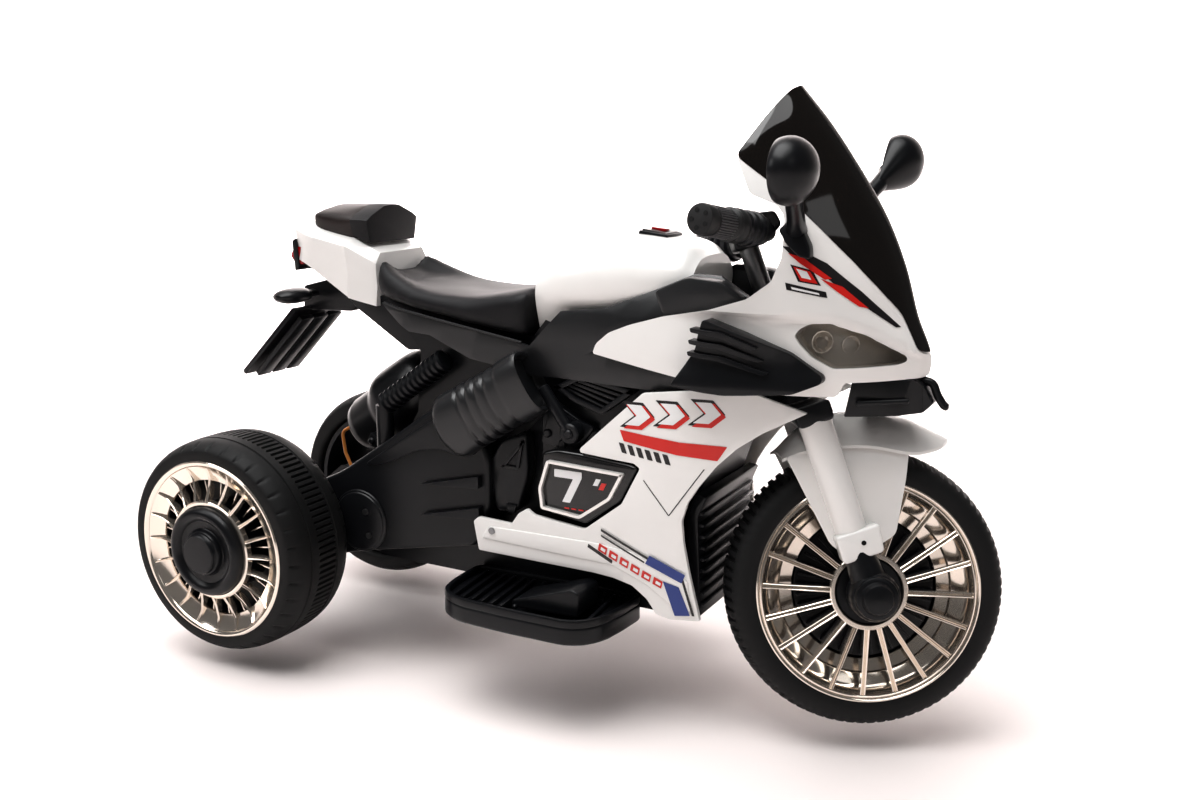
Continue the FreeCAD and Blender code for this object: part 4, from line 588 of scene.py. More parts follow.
def tube(path: Sequence[Sequence[float]], radii: Sequence[float], sides: int = 20) -> Shape:
    """A round bar along a path with a radius at each point, ends closed."""
    rows = []
    points = [Vector(point) for point in path]
    for i, point in enumerate(points):
        ahead = points[min(i + 1, len(points) - 1)] - points[max(i - 1, 0)]
        turn = ahead.to_track_quat("Z", "Y")
        rows.append([point + turn @ Vector((radii[i] * math.cos(a), radii[i] * math.sin(a), 0))
                     for a in (math.tau * k / sides for k in range(sides))])
    return skin(rows)


def boolean(piece: Shape, tools: Sequence[tuple[str, Shape]]) -> Shape:
    """Cuts a mesh by others with exact booleans.

    Args:
        piece: the mesh that is cut; it is freed.
        tools: (operation, mesh) pairs; the meshes are freed.

    Returns:
        The cut mesh.
    """
    target = shown(piece, "cut_target")
    helpers = []
    for operation, tool in tools:
        helper = shown(tool, "cut_tool")
        helpers.append(helper)
        modifier = target.modifiers.new("cut", "BOOLEAN")
        modifier.operation = operation
        modifier.solver = "EXACT"
        modifier.use_self = True
        modifier.object = helper
    graph = bpy.context.evaluated_depsgraph_get()
    mesh = bpy.data.meshes.new_from_object(target.evaluated_get(graph))
    result = bmesh.new()
    result.from_mesh(mesh)
    for thing in (target, *helpers):
        data = thing.data
        bpy.data.objects.remove(thing)
        bpy.data.meshes.remove(data)
    bpy.data.meshes.remove(mesh)
    return result


def spoke_ring(
        stations: Sequence[Sequence[float]], crest: Sequence[Point], count: int,
        face: float = 0.0) -> Shape:
    """A ring of tapered spokes, each with a valley along its middle.

    Args:
        stations: (radius, half-width, front, back) along a spoke.
        crest: (share of the half-width, drop from the front) from its edge to its middle.
        count: how many stand round the wheel.
        face: the place on Y that front and back are counted from.

    Returns:
        The spokes.
    """
    rows = []
    for radius, wide, front, back in stations:
        half = [(wide, back)] + [(wide * share, front - drop) for share, drop in crest]
        ring = [(-w, y) for w, y in half[:-1]] + half[::-1]
        rows.append([Vector((radius, face + y, w)) for w, y in ring])
    bm = skin(rows)
    ring_copies(bm, count)
    return bm


def tyre_row(angle: float, section: Iterable[Point]) -> list[Vector]:
    """A tyre's section of (radius, place on Y), turned round the axle by an angle."""
    return [
        Vector((radius * math.cos(angle), along, radius * math.sin(angle))) for radius, along in section]


@dataclass
class FrontWheel:
    """The steered wheel: lugged tyre, two plated rims and the black core behind them."""

    lugs: int = 84
    lug_depth: float = 3.2
    tread_from: float = 143.5
    tread_blend: float = 5.0
    spokes: int = 20
    core_ribs: int = 40

    def tyre(self) -> None:
        """Builds the tyre from one lug's sector, repeated."""
        full = [
            (118, -37), (119, -40.5), (123, -42), (132, -41.5), (139, -38.5), (144.5, -32), (148.4, -21),
            (150.4, -11), (151, 0)]
        full += [(r, -a) for r, a in reversed(full[:-1])]
        full += [(118, 20), (118, -20)]

        def sunk(depth: float) -> list[Point]:
            """The section with its tread sunk by a depth."""
            return [
                (r - depth * min(max((r - self.tread_from) / self.tread_blend, 0), 1), a) for r, a in full]

        pitch = math.tau / self.lugs
        cuts = ((0.0, 0.0), (0.52, 0.0), (0.6, self.lug_depth), (0.92, self.lug_depth), (1.0, 0.0))
        rows = [tyre_row(pitch * share, sunk(depth)) for share, depth in cuts]
        bm = skin(rows, caps=False)
        ring_copies(bm, self.lugs)
        tidy_normals(bm)
        Mould("front_tyre_lugged", EVA_TYRE, "tyre", "front_tyre", "front_wheel", 40).cast(bm, FORK)

    def rims(self) -> None:
        """Builds both plated rims."""
        lip = [
            (112, 30), (112, 38), (112.8, 40.3), (114, 41.2), (115.2, 40.9), (116.2, 40.2), (117, 41.6),
            (118.4, 42.4), (119.8, 41.6), (120.2, 39.5), (117.5, 36), (117, 28)]
        dish = [
            (116.5, 30), (112, 30), (110, 27), (104, 22.5), (94, 20.2), (93, 19), (92, 17.2), (79, 15.4),
            (78.4, 14.2), (79, 13), (96, 14), (117, 20)]
        ring = [
            (36.2, 42), (36.2, 45.2), (37, 46), (40.4, 46), (41.6, 45), (41.8, 38), (39, 36), (36.2, 37)]
        stations = ((40, 3.0, 45.5, 38), (70, 2.7, 43.8, 36), (98, 2.6, 41.8, 33), (112.5, 2.9, 40.8, 30))
        blades = spoke_ring(stations, ((1, 0.5), (0.75, 0), (0.5, 0.6), (0, 2.2)), self.spokes)
        parts = [turned(lip, 120), turned(dish, 120), turned(ring, 72), blades]
        Mould("front_rims_plated", PLATED_CHROME, "chrome_trim", "front_rims", "front_wheel", 38).cast(
            both_sides(merge(parts)), FORK)

    def core(self) -> None:
        """Builds the black drum with its radial ribs and the hub behind the spokes."""
        drum = [
            (8, -44), (34, -44), (36, -42), (36, -18), (70, -13), (76, -12), (77.5, -10.5), (77.5, -3),
            (116, -3), (116, 3), (77.5, 3), (77.5, 10.5), (76, 12), (70, 13), (36, 18), (36, 42), (34, 44),
            (8, 44)]
        rib = plate([(38, -1.2), (74, -1.2), (74, 1.2), (38, 1.2)], -20.5, 20.5, edge=0.4)
        ring_copies(rib, self.core_ribs)
        Mould("front_wheel_core", BLACK_PP, "black_plastic", "front_hub", "front_wheel").cast(
            merge([turned(drum), rib]), FORK)

    def build(self) -> None:
        """Builds the wheel."""
        self.tyre()
        self.rims()
        self.core()


@dataclass
class RearWheel:
    """One wide rear wheel, drawn with its outer side to the left."""

    side: Side
    half_width: float = 54.0
    track: float = 164.0
    lugs: int = 108
    lug_depth: float = 3.2
    cut_depth: float = 2.6
    spokes: int = 20

    def outward(self, profile: Sequence[Point]) -> list[Point]:
        """A profile with its places on Y counted from the tyre's outer face."""
        return [(radius, self.half_width + out) for radius, out in profile]

    def place(self) -> Matrix:
        """The way from the wheel's own frame to the shared one."""
        turn = Matrix.Rotation(math.pi, 4, "X") if self.side is Side.RIGHT else Matrix.Identity(4)
        return BODY @ Matrix.Translation((0, self.side.value * self.track, REAR_Z)) @ turn

    def fit(self, bm: Shape, piece: str, finish: Finish, slot: str, node: str, sharp: float) -> None:
        """Casts one piece of this wheel.

        Args:
            bm: the shape; it is freed.
            piece: the piece's name without its side.
            finish: its finish.
            slot: the record's material slot.
            node: the CAD node that it stands for, without its side.
            sharp: edges over this angle in degrees stay sharp.
        """
        hand = f"{self.side.name.lower()}_rear"
        Mould(f"{hand}_{piece}", finish, slot, f"{hand}_{node}", f"{hand}_wheel", sharp).cast(
            bm, self.place())

    def tyre(self) -> None:
        """Builds the tyre: lugs on the middle band and slanting cuts on both shoulders."""
        outer = self.outward((
            (106, -5), (108, -1.2), (111, 0), (122, 0), (124.5, -1), (127, -4), (130, -9), (132, -14),
            (133.4, -20), (134, -25), (134.4, -29), (132.6, -30), (132.6, -31.5), (134.6, -32.5)))
        middle = [(135, 12), (135, 10.5), (135, 9), (135, 0), (135, -14)]
        inner = [(r, -a) for r, a in reversed(outer)]
        section = outer + middle + inner + [(106, -30), (106, 30)]
        sectors = self.lugs // 3
        fine = 12
        pitch = math.tau / sectors

        def sink(step: int, r: float, a: float) -> float:
            """Depth of the tread cut at one place."""
            reach = abs(a)
            if -22 < a < 10:
                return self.lug_depth if step % 4 == 3 else 0.0
            if r < 126 or reach < 27:
                return 0.0
            lean = (self.half_width - reach) / 26
            slot = (step - 8 * lean**2) % fine
            return self.cut_depth * math.sin(math.pi * min(lean * 1.35 + 0.25, 1)) if slot < 1.2 else 0.0

        rows = [tyre_row(pitch * step / fine, [(r - sink(step % fine, r, a), a) for r, a in section])
                for step in range(fine + 1)]
        bm = skin(rows, caps=False)
        ring_copies(bm, sectors)
        tidy_normals(bm)
        self.fit(bm, "tyre_lugged", EVA_TYRE, "tyre", "tyre", 42)

    def rim(self) -> None:
        """Builds the plated trim: lip, wide dished band, spokes over dark windows and the hub ring."""
        half = self.half_width
        lip = self.outward((
            (103, -6), (104.5, -1.5), (106, 0.6), (108, 1.9), (109.8, 1.9), (111.4, 0.4), (111.8, -3),
            (104, -9)))
        band = self.outward((
            (106, -4), (104.5, -1.5), (100, -5), (92, -9), (86, -10.5), (85.2, -12), (86, -15), (100, -12),
            (106, -9)))
        ring = self.outward((
            (56.2, -6), (56.4, 1.5), (57.2, 2.6), (60.4, 2.6), (62, 1), (62.4, -6), (60, -8)))
        stations = ((61, 2.3, 1.6, -8), (74, 2.0, -3.4, -13), (90, 1.7, -6.6, -11), (98, 1.6, -4.2, -8),
                    (103, 1.5, -1.6, -5))
        blades = spoke_ring(stations, ((1, 0.4), (0.6, 0), (0, 1.3)), self.spokes, half)
        thin = plate([(64, -0.7), (85, -0.9), (85, 0.9), (64, 0.7)], half - 18, half - 12, edge=0.25)
        thin.transform(Matrix.Rotation(math.pi / self.spokes, 4, "Y"))
        ring_copies(thin, self.spokes)
        bm = merge([turned(lip, 120), turned(band, 120), turned(ring), blades, thin])
        self.fit(bm, "rim_plated", PLATED_CHROME, "chrome_trim", "rim", 38)

    def hub(self) -> None:
        """Builds the black core with the stepped, rounded cap."""
        inner = -self.track + 72
        profile = [
            (5.05, inner), (14, inner), (14, -47), (20, -47), (20, 6), (97, 6), (97, -47), (103, -47),
            (103, 46), (97, 46), (97, 12), (56, 12)]
        profile += self.outward((
            (56, 5), (55.2, 9), (53.4, 12), (50.4, 14), (46.8, 14.6), (43.4, 13.6), (40.8, 11), (39, 8.6),
            (30, 8), (29, 9), (28.4, 13), (27.2, 15), (25.4, 15.6), (24.6, 17), (24, 19.4), (22.6, 20.8),
            (20, 21), (AXIS, 21), (AXIS, 15.2), (5.05, 15.2)))
        self.fit(turned(profile), "hub_capped", BLACK_PP, "black_plastic", "hub", 30)

    def build(self) -> None:
        """Builds the wheel."""
        self.tyre()
        self.rim()
        self.hub()


def on_front(outline: Sequence[Point]) -> list[Point]:
    """Side-view points given from the front axle, as (u, z)."""
    return [(FRONT_U + along, FRONT.z + up) for along, up in outline]


def stepped(outline: Sequence[Point], along: float, up: float, count: int) -> list[list[Point]]:
    """An outline repeated in equal steps along and up."""
    return [[(u + along * k, z + up * k) for u, z in outline] for k in range(count)]


def along_table(table: Sequence[Point], place: float) -> float:
    """Reads a value from a table of (place, value), straight between its rows."""
    for (low, first), (high, second) in zip(table, table[1:]):
        if place <= high:
            share = min(max((place - low) / (high - low), 0.0), 1.0)
            return first + (second - first) * share
    return table[-1][1]


@dataclass
class Panel:
    """A thin moulding that follows a curved side surface, drawn on the right-hand side.

    Attributes:
        outline: its edge as (u, z).
        surface: half-width of the outer face at (u, z).
        thick: wall thickness.
        corner: radius of its corners.
        edge: radius of its edges.
        pitch: spacing of the cuts that let it bend.
    """

    outline: Sequence[Point]
    surface: Callable[[float, float], float]
    thick: float = 4.0
    corner: float = 3.0
    edge: float = 1.2
    pitch: float = 12.0

    def bent(self, bm: Shape) -> Shape:
        """Cuts a flat shape into strips and lays it on the surface."""
        for axis in (0, 2):
            values = [vert.co[axis] for vert in bm.verts]
            low, high = min(values), max(values)
            count = max(int((high - low) / self.pitch), 1)
            slice_up(bm, [low + (high - low) * k / count for k in range(1, count)], axis)
        bend(bm, lambda co: -self.surface(co.x, co.z))
        return bm

    def build(self) -> Shape:
        """Makes the moulding."""
        return self.bent(plate(self.outline, self.thick, 0.0, self.corner, self.edge, 3))

    def sheet(self, outline: Sequence[Point], proud: float = 0.3, corner: float = 0.0) -> Shape:
        """Makes a sticker that lies on the outer face."""
        bm = bmesh.new()
        flat_face(bm, outline, -proud, corner)
        self.bent(bm)
        bmesh.ops.recalc_face_normals(bm, faces=bm.faces[:])
        if bm.faces and sum(face.normal.y for face in bm.faces) > 0:
            bmesh.ops.reverse_faces(bm, faces=bm.faces[:])
        return bm


def loop_band(outline: Sequence[Point], width: float, near: float, far: float, corner: float = 2.0,
              edge: float = 0.8) -> Shape:
    """A flat band of one width inside an outline, with rounded edges."""
    bm = bmesh.new()
    face = flat_face(bm, outline, near, corner)
    bmesh.ops.inset_region(bm, faces=[face], thickness=width, use_even_offset=True, use_boundary=True)
    bmesh.ops.delete(bm, geom=[face], context="FACES_ONLY")
    thicken(bm, (0, far - near, 0))
    round_edges(bm, edge)
    return bm


def bar(
        start: Sequence[float], end: Sequence[float], radius: float, sides: int = 18,
        dome: float = 1.5) -> Shape:
    """A straight round bar with softened ends."""
    a, b = Vector(start), Vector(end)
    way = (b - a).normalized() * dome
    return tube([a, a + way, b - way, b], [radius - dome, radius, radius, radius - dome], sides)


def aimed(bm: Shape, start: Sequence[float], way: Sequence[float]) -> Shape:
    """Lays a shape drawn about the Y axis along a line from a point."""
    turn = Vector(way).to_track_quat("Y", "Z").to_matrix().to_4x4()
    bm.transform(Matrix.Translation(start) @ turn)
    return bm


@dataclass
class SideBody:
    """Everything on the flanks: lower fairing, engine cover, plate, duct, arms, radiator and footboards."""

    wall: float = 5.0
    ledge: float = 1.4
    plate_face: float = 112.0
    print_depth: float = 0.5
    board_top: float = 118.0

    fairing_edge: tuple[Point, ...] = (
        (534, 363), (587, 369), (631, 369), (653, 370), (710, 354), (664, 329), (637, 310), (616, 289),
        (598, 265), (587, 247), (581, 226), (583, 202), (589, 169), (596, 136), (601, 113), (568, 111),
        (552, 115), (541, 132), (524, 145), (501, 151), (476, 153), (325, 156), (319, 191), (326, 197),
        (371, 195), (381, 209), (392, 216), (401, 210), (463, 203), (468, 204), (512, 238), (533, 280),
        (526, 285), (461, 290), (460, 294))

    @staticmethod
    def flank(u: float, z: float) -> float:
        """Half-width of the fairing: narrower to the front, and drawn in a little above and below."""
        plan = along_table((
            (300, 116), (420, 115.4), (500, 114.2), (540, 111.6), (580, 106), (620, 98.6), (660, 93),
            (730, 87)), u)
        return plan - 4.5 * ((z - 230) / 130) ** 2

    def fairing(self) -> None:
        """Builds both lower side fairings with their ledge, and puts the stickers on."""
        panel = Panel(self.fairing_edge, self.flank, self.wall, 2.5, 1.6)
        edge = (
            (330, 172), (500, 166), (540, 150), (572, 126), (592, 122), (588, 160), (560, 172), (528, 184),
            (480, 189), (340, 188))
        ledge = Panel(edge, lambda u, z: self.flank(u, z) + self.ledge, 3.0, 4.0, 1.2)
        Mould("side_fairings_moulded", WHITE_ABS, "white_body", "side_fairings").cast(
            both_sides(merge([panel.build(), ledge.build()])))
        upper = {finish: [] for finish in (STICKER_BLACK, STICKER_RED, STICKER_WHITE, STICKER_BLUE)}
        for k in range(3):
            for finish, grow, shift in (
                    (STICKER_BLACK, 1.6, 0.0), (STICKER_RED, 0.6, 2.4), (STICKER_WHITE, -1.2, 0.0)):
                u = 512 + 38 * k + shift
                z = 326 + 4 * k - shift
                upper[finish].append((
                    (u - 2 * grow, z - grow), (u + 20 + grow / 2, z - grow), (u + 34 + 1.6 * grow, z + 12),
                    (u + 22 + grow / 2, z + 25 + grow), (u + 2 - 2 * grow, z + 25 + grow),
                    (u + 15 - grow, z + 12)))
        upper[STICKER_RED].append(((509, 321), (577, 313), (628, 312), (618, 296), (574, 299), (514, 309)))
        upper[STICKER_BLACK] += stepped(((508, 307), (514, 306), (518, 295), (512, 296)), 10, -1.6, 6)
        upper[STICKER_BLACK] += [
            ((537, 268), (538.4, 268), (567.4, 231), (566, 231)),
            ((566, 231), (567.4, 231), (605, 286), (603.6, 286))]
        lower = {
            STICKER_BLUE: [
                ((546, 184), (586, 166), (582, 156), (541, 174)),
                ((561, 156), (579, 151), (591, 119), (574, 117))],
            STICKER_BLACK: [
                ((488, 207), (580, 165), (580, 162), (488, 204)),
                ((580, 165), (583, 164), (596, 119), (593, 119)),
                ((488, 200), (540, 176), (540, 174), (488, 198)),
                ((472, 187), (502, 172), (501, 168), (471, 183))],
            STICKER_RED: stepped(((486, 190), (496, 185.4), (494, 177), (484, 181.6)), 13, -6, 6),
            STICKER_WHITE: stepped(((488.5, 186), (494, 183.5), (493, 180), (487.5, 182.5)), 13, -6, 6)}
        lift = {STICKER_BLACK: 0.3, STICKER_RED: 0.6, STICKER_BLUE: 0.6, STICKER_WHITE: 0.9}
        for finish, proud in lift.items():
            sheets = [panel.sheet(outline, proud, 0.8) for outline in upper[finish]]
            sheets += [panel.sheet(outline, proud + self.ledge, 0.6) for outline in lower[finish]]
            Mould(f"fairing_{finish.name}", finish, "white_body").cast(both_sides(merge(sheets)))

    def engine(self) -> None:
        """Builds the engine covers: backing, louvre, post, bosses and the rod with its eyes."""
        parts = [
            plate((
                (338, 199), (334, 262), (398, 325), (418, 361), (530, 361), (470, 300), (514, 280),
                (500, 236), (466, 208), (375, 197)), -62, -74, 3, 2),
            loop_band(((412, 355), (450, 374), (515, 359), (474, 329), (438, 340)), 6, -72, -88, 3, 1.4)]
        slats = 6
        for step in range(slats):
            share = step / (slats - 1)
            start = Vector((446 - 30 * share, 369 - 14 * share))
            end = Vector((508 - 38 * share, 358 - 25 * share))
            drop = Vector((2, -4))
            parts.append(plate((start, end, end + drop, start + drop), -72, -85, 1, 1))
        parts += [
            plate((
                (378, 299), (380, 252), (366, 202), (335, 198), (326, 255),
                (343, 286)), -72, -92, 7, 3.5, 3),
            loop_band(((376, 291), (369, 254), (344, 254)), 3.5, -90, -95, 3, 1),
            plate(((351, 211), (365, 211), (362, 200), (353, 200)), -90, -94.5, 1, 1),
            plate(((394, 318), (401, 341), (474, 302), (440, 280), (394, 258)), -72, -83, 6, 3, 3),
            plate(((406, 329), (465, 313), (442, 282), (394, 288)), -82, -87, 5, 2),
            bar((402, -94, 355), (440, -97, 306), 7),
            bar((440, -103, 306), (440, -78, 306), 12),
            bar((440, -106, 306), (440, -100, 306), 5.5)]
        parts += [bar((u, -90, z), (u, -72, z), 5) for u, z in ((398, 238), (404, 300), (424, 290))]
        covers = both_sides(merge(parts))
        Mould("engine_covers_moulded", BLACK_PP, "black_plastic", "engine_covers").cast(covers)

    def number_plate(self) -> None:
        """Builds the plate's housing, its bright frame, a plain numeral and two small marks."""
        housing = plate((
            (408, 241), (411, 284), (428, 289), (459, 288), (522, 283), (530, 280), (510, 240), (467, 207),
            (420, 214)), -80, -self.plate_face, 4, 3.5, 3)
        Mould("number_plates_moulded", BLACK_GLOSS, "black_plastic", "number_plates").cast(
            both_sides(housing))
        frame_edge = ((419, 277), (516, 273), (499, 241), (461, 214), (411, 219), (408, 243))
        band = loop_band(frame_edge, 3.6, -self.plate_face + 1, -self.plate_face - 4.5, 3, 1.2)
        Mould("number_plate_frames_plated", SATIN_CHROME, "chrome_trim", "number_plate_frames").cast(
            both_sides(band))
        level = -self.plate_face - 0.6
        strokes = ((427, 267), (462, 267), (462, 260), (447, 230), (437, 230), (451, 258), (427, 258))
        turned_about = strokes[0][0] + strokes[1][0]
        back = level + self.print_depth
        seven = plate(strokes, back, level, 1)
        left_seven = plate([(turned_about - u, z) for u, z in strokes], -back, -level, 1)
        slants = stepped(((480, 262), (486, 262), (482, 254), (476, 254)), 7, -4, 2)
        marks = [plate(outline, back, level) for outline in slants]
        bars = stepped(((440, 224), (446, 224), (446, 222.6), (440, 222.6)), 9, 0, 4)
        dashes = [plate(outline, back, level) for outline in bars]
        Mould("plate_numeral", STICKER_WHITE, "white_body").cast(
            merge([seven, left_seven, both_sides(marks[0])]))
        Mould("plate_marks", STICKER_RED, "white_body").cast(both_sides(merge([marks[1]] + dashes)))

    def ducts(self) -> None:
        """Builds the ribbed air ducts: a rounded box swept along its axis with rings and a flange."""
        way = Vector((0.857, 0, 0.515))
        across = Vector((-0.515, 0, 0.857))
        start = Vector((284, -103, 297))
        sides = 40
        stations = [(-8, 0.3), (-7, 0.6), (-4, 0.82), (1, 0.95), (8, 1.0), (30, 1.0)]
        for number in range(4):
            base = 32 + number * 14
            groove = ((0, 1.0), (1.5, 0.9), (3, 0.86), (4.5, 0.9), (6, 1.0), (10, 1.02))
            stations += [(base + along, size) for along, size in groove]
        stations += [
            (92, 0.92), (95, 0.95), (97, 1.05), (100, 1.08), (122, 1.1), (127, 1.08), (129, 1.02),
            (128.5, 0.94), (118, 0.88), (116, 0.4)]
        rows = []
        for along, size in stations:
            high = (40 - along * 0.04) * size
            deep = 23 * (0.9 + 0.1 * size)
            ring = []
            for k in range(sides):
                c = math.cos(math.tau * k / sides)
                s = math.sin(math.tau * k / sides)
                ring.append(start + way * along + across * (high * math.copysign(abs(c) ** 0.74, c))
                            + Vector((0, deep * math.copysign(abs(s) ** 0.8, s), 0)))
            rows.append(ring)
        Mould("air_ducts_ribbed", BLOWN_PP, "black_plastic", "air_ducts", sharp=34).cast(
            both_sides(skin(rows)))

    def arms(self) -> None:
        """Builds the rear arms with their spear-shaped fins, and the round cap on the right one."""
        edge = (
            (-42, 157), (-42, 111), (-20, 93), (40, 93), (136, 119), (317, 155), (331, 199), (331, 268),
            (282, 335), (110, 220), (20, 179), (-20, 177))
        parts = [plate(edge, -66, -99.5, 16, 5, 3)]
        for fin in stepped(((238, 223), (322, 243), (322, 228)), 0, -38, 2):
            parts.append(plate(fin, -96, -109, 2, 4, 4))
        pad = ((150, 235), (282, 322), (318, 268), (300, 262), (262, 268), (230, 262), (180, 238))
        parts.append(plate(pad, -97, -103, 8, 2.5, 3))
        Mould("rear_arms_moulded", BLACK_PP, "black_plastic", "rear_arms").cast(both_sides(merge(parts)))
        cap = turned((
            (AXIS, 0), (34, 0), (36, -0.8), (37, -2.2), (39, -2.8), (40, -4), (40, -6), (AXIS, -6)), 72)
        Mould("gearbox_cap_moulded", BLACK_PP, "black_plastic", "gearbox_cap").cast(
            cap, BODY @ Matrix.Translation((140, -105, 161)) @ Matrix.Rotation(math.pi, 4, "Z"))

    def canister(self) -> None:
        """Builds the two-lobed canister behind the seat post, with a screw ear on its flank."""
        profile = [
            (AXIS, -84), (16, -83), (28, -79), (35, -72), (38.5, -61), (39, -29), (40, -25), (44, -20),
            (48, -12), (49.8, 0), (49.8, 40), (48, 54), (43, 65), (34, 71), (AXIS, 73)]
        lobes = aimed(turned(profile, 72), (138, 0, 293), (0.84, 0, 0.5426))
        ear = plate(((112, 246), (128, 240), (134, 252), (120, 262)), -34, -50, 4, 2)
        head = bar((122, -53, 250), (122, -48, 250), 4.5)
        Mould("rear_canister_moulded", BLACK_PP, "black_plastic", "rear_canister", sharp=40).cast(
            merge([lobes, ear, head]))

    def radiator(self) -> None:
        """Builds the black radiator behind the front wheel with its cooling ribs."""
        edge = on_front(((-164.7, 100), (-152, 98), (-162, 74), (-157, -40), (-170, -40), (-175, 75)))
        parts = [plate(edge, 79, -79, 2, 1.5)]
        for step in range(9):
            z = FRONT.z - 30 + step * 13
            u = FRONT_U - 160 - max(step - 6, 0) * 1.5
            parts.append(plate(((u - 3, z), (u + 6, z + 2), (u + 6, z + 5), (u - 3, z + 6)), 76, -76, 0, 1))
        Mould("radiator_ribbed", BLACK_PP, "black_plastic", "radiator_panel").cast(merge(parts))

    def footboards(self) -> None:
        """Builds the footboards with rim and slanting ribs, and the pedal in the right one."""
        plan = (
            (290, 62), (292, 118), (300, 156), (330, 174), (400, 178), (480, 178), (504, 158), (513, 118),
            (516, 62))
        top = self.board_top
        for side in Side:
            base = plate(plan, -top + 8, -top + 30, 14, 4, 3)
            if side is Side.RIGHT:
                well = plate(((386, 100), (484, 100), (484, 157), (386, 157)), -top - 4, -top + 18)
                base = boolean(base, [("DIFFERENCE", well)])
            parts = [base, loop_band(plan, 6, -top, -top + 10, 14, 2.2)]
            for step in range(14):
                u = 306 + step * 13.5
                far = 168 - abs(step - 7) * 1.2
                if side is Side.RIGHT and 378 < u < 480:
                    far = 98
                rib = ((u, 72), (u + 4.5, 72), (u + 14.5, far), (u + 10, far))
                parts.append(plate(rib, -top + 2.5, -top + 9, 0, 1))
            lower = ((300, 70), (310, 140), (340, 158), (480, 158), (500, 130), (506, 70))
            parts.append(plate(lower, -top + 28, -top + 37, 12, 2))
            bm = merge(parts)
            hand = side.name.lower()
            bm.transform(Matrix(((1, 0, 0, 0), (0, 0, side.value, 0), (0, -1, 0, 0), (0, 0, 0, 1))))
            bmesh.ops.recalc_face_normals(bm, faces=bm.faces[:])
            Mould(f"{hand}_footboard_ribbed", BLACK_PP, "black_plastic", f"{hand}_footboard").cast(bm)
        wedge = plate(((393, 110), (478, 113), (479, 140), (470, 144), (393, 119)), -104, -152, 3, 2, 3)
        pin = bar((398, -156, 112), (398, -100, 112), 3)
        Mould("throttle_pedal_moulded", BLACK_PP, "black_plastic", "throttle_pedal", "pedal").cast(
            merge([wedge, pin]))

    def build(self) -> None:
        """Builds both flanks."""
        self.fairing()
        self.engine()
        self.number_plate()
        self.ducts()
        self.arms()
        self.canister()
        self.radiator()
        self.footboards()


def half_width(node: str) -> float:
    """Half-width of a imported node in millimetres."""
    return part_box(node)[1].y / MM


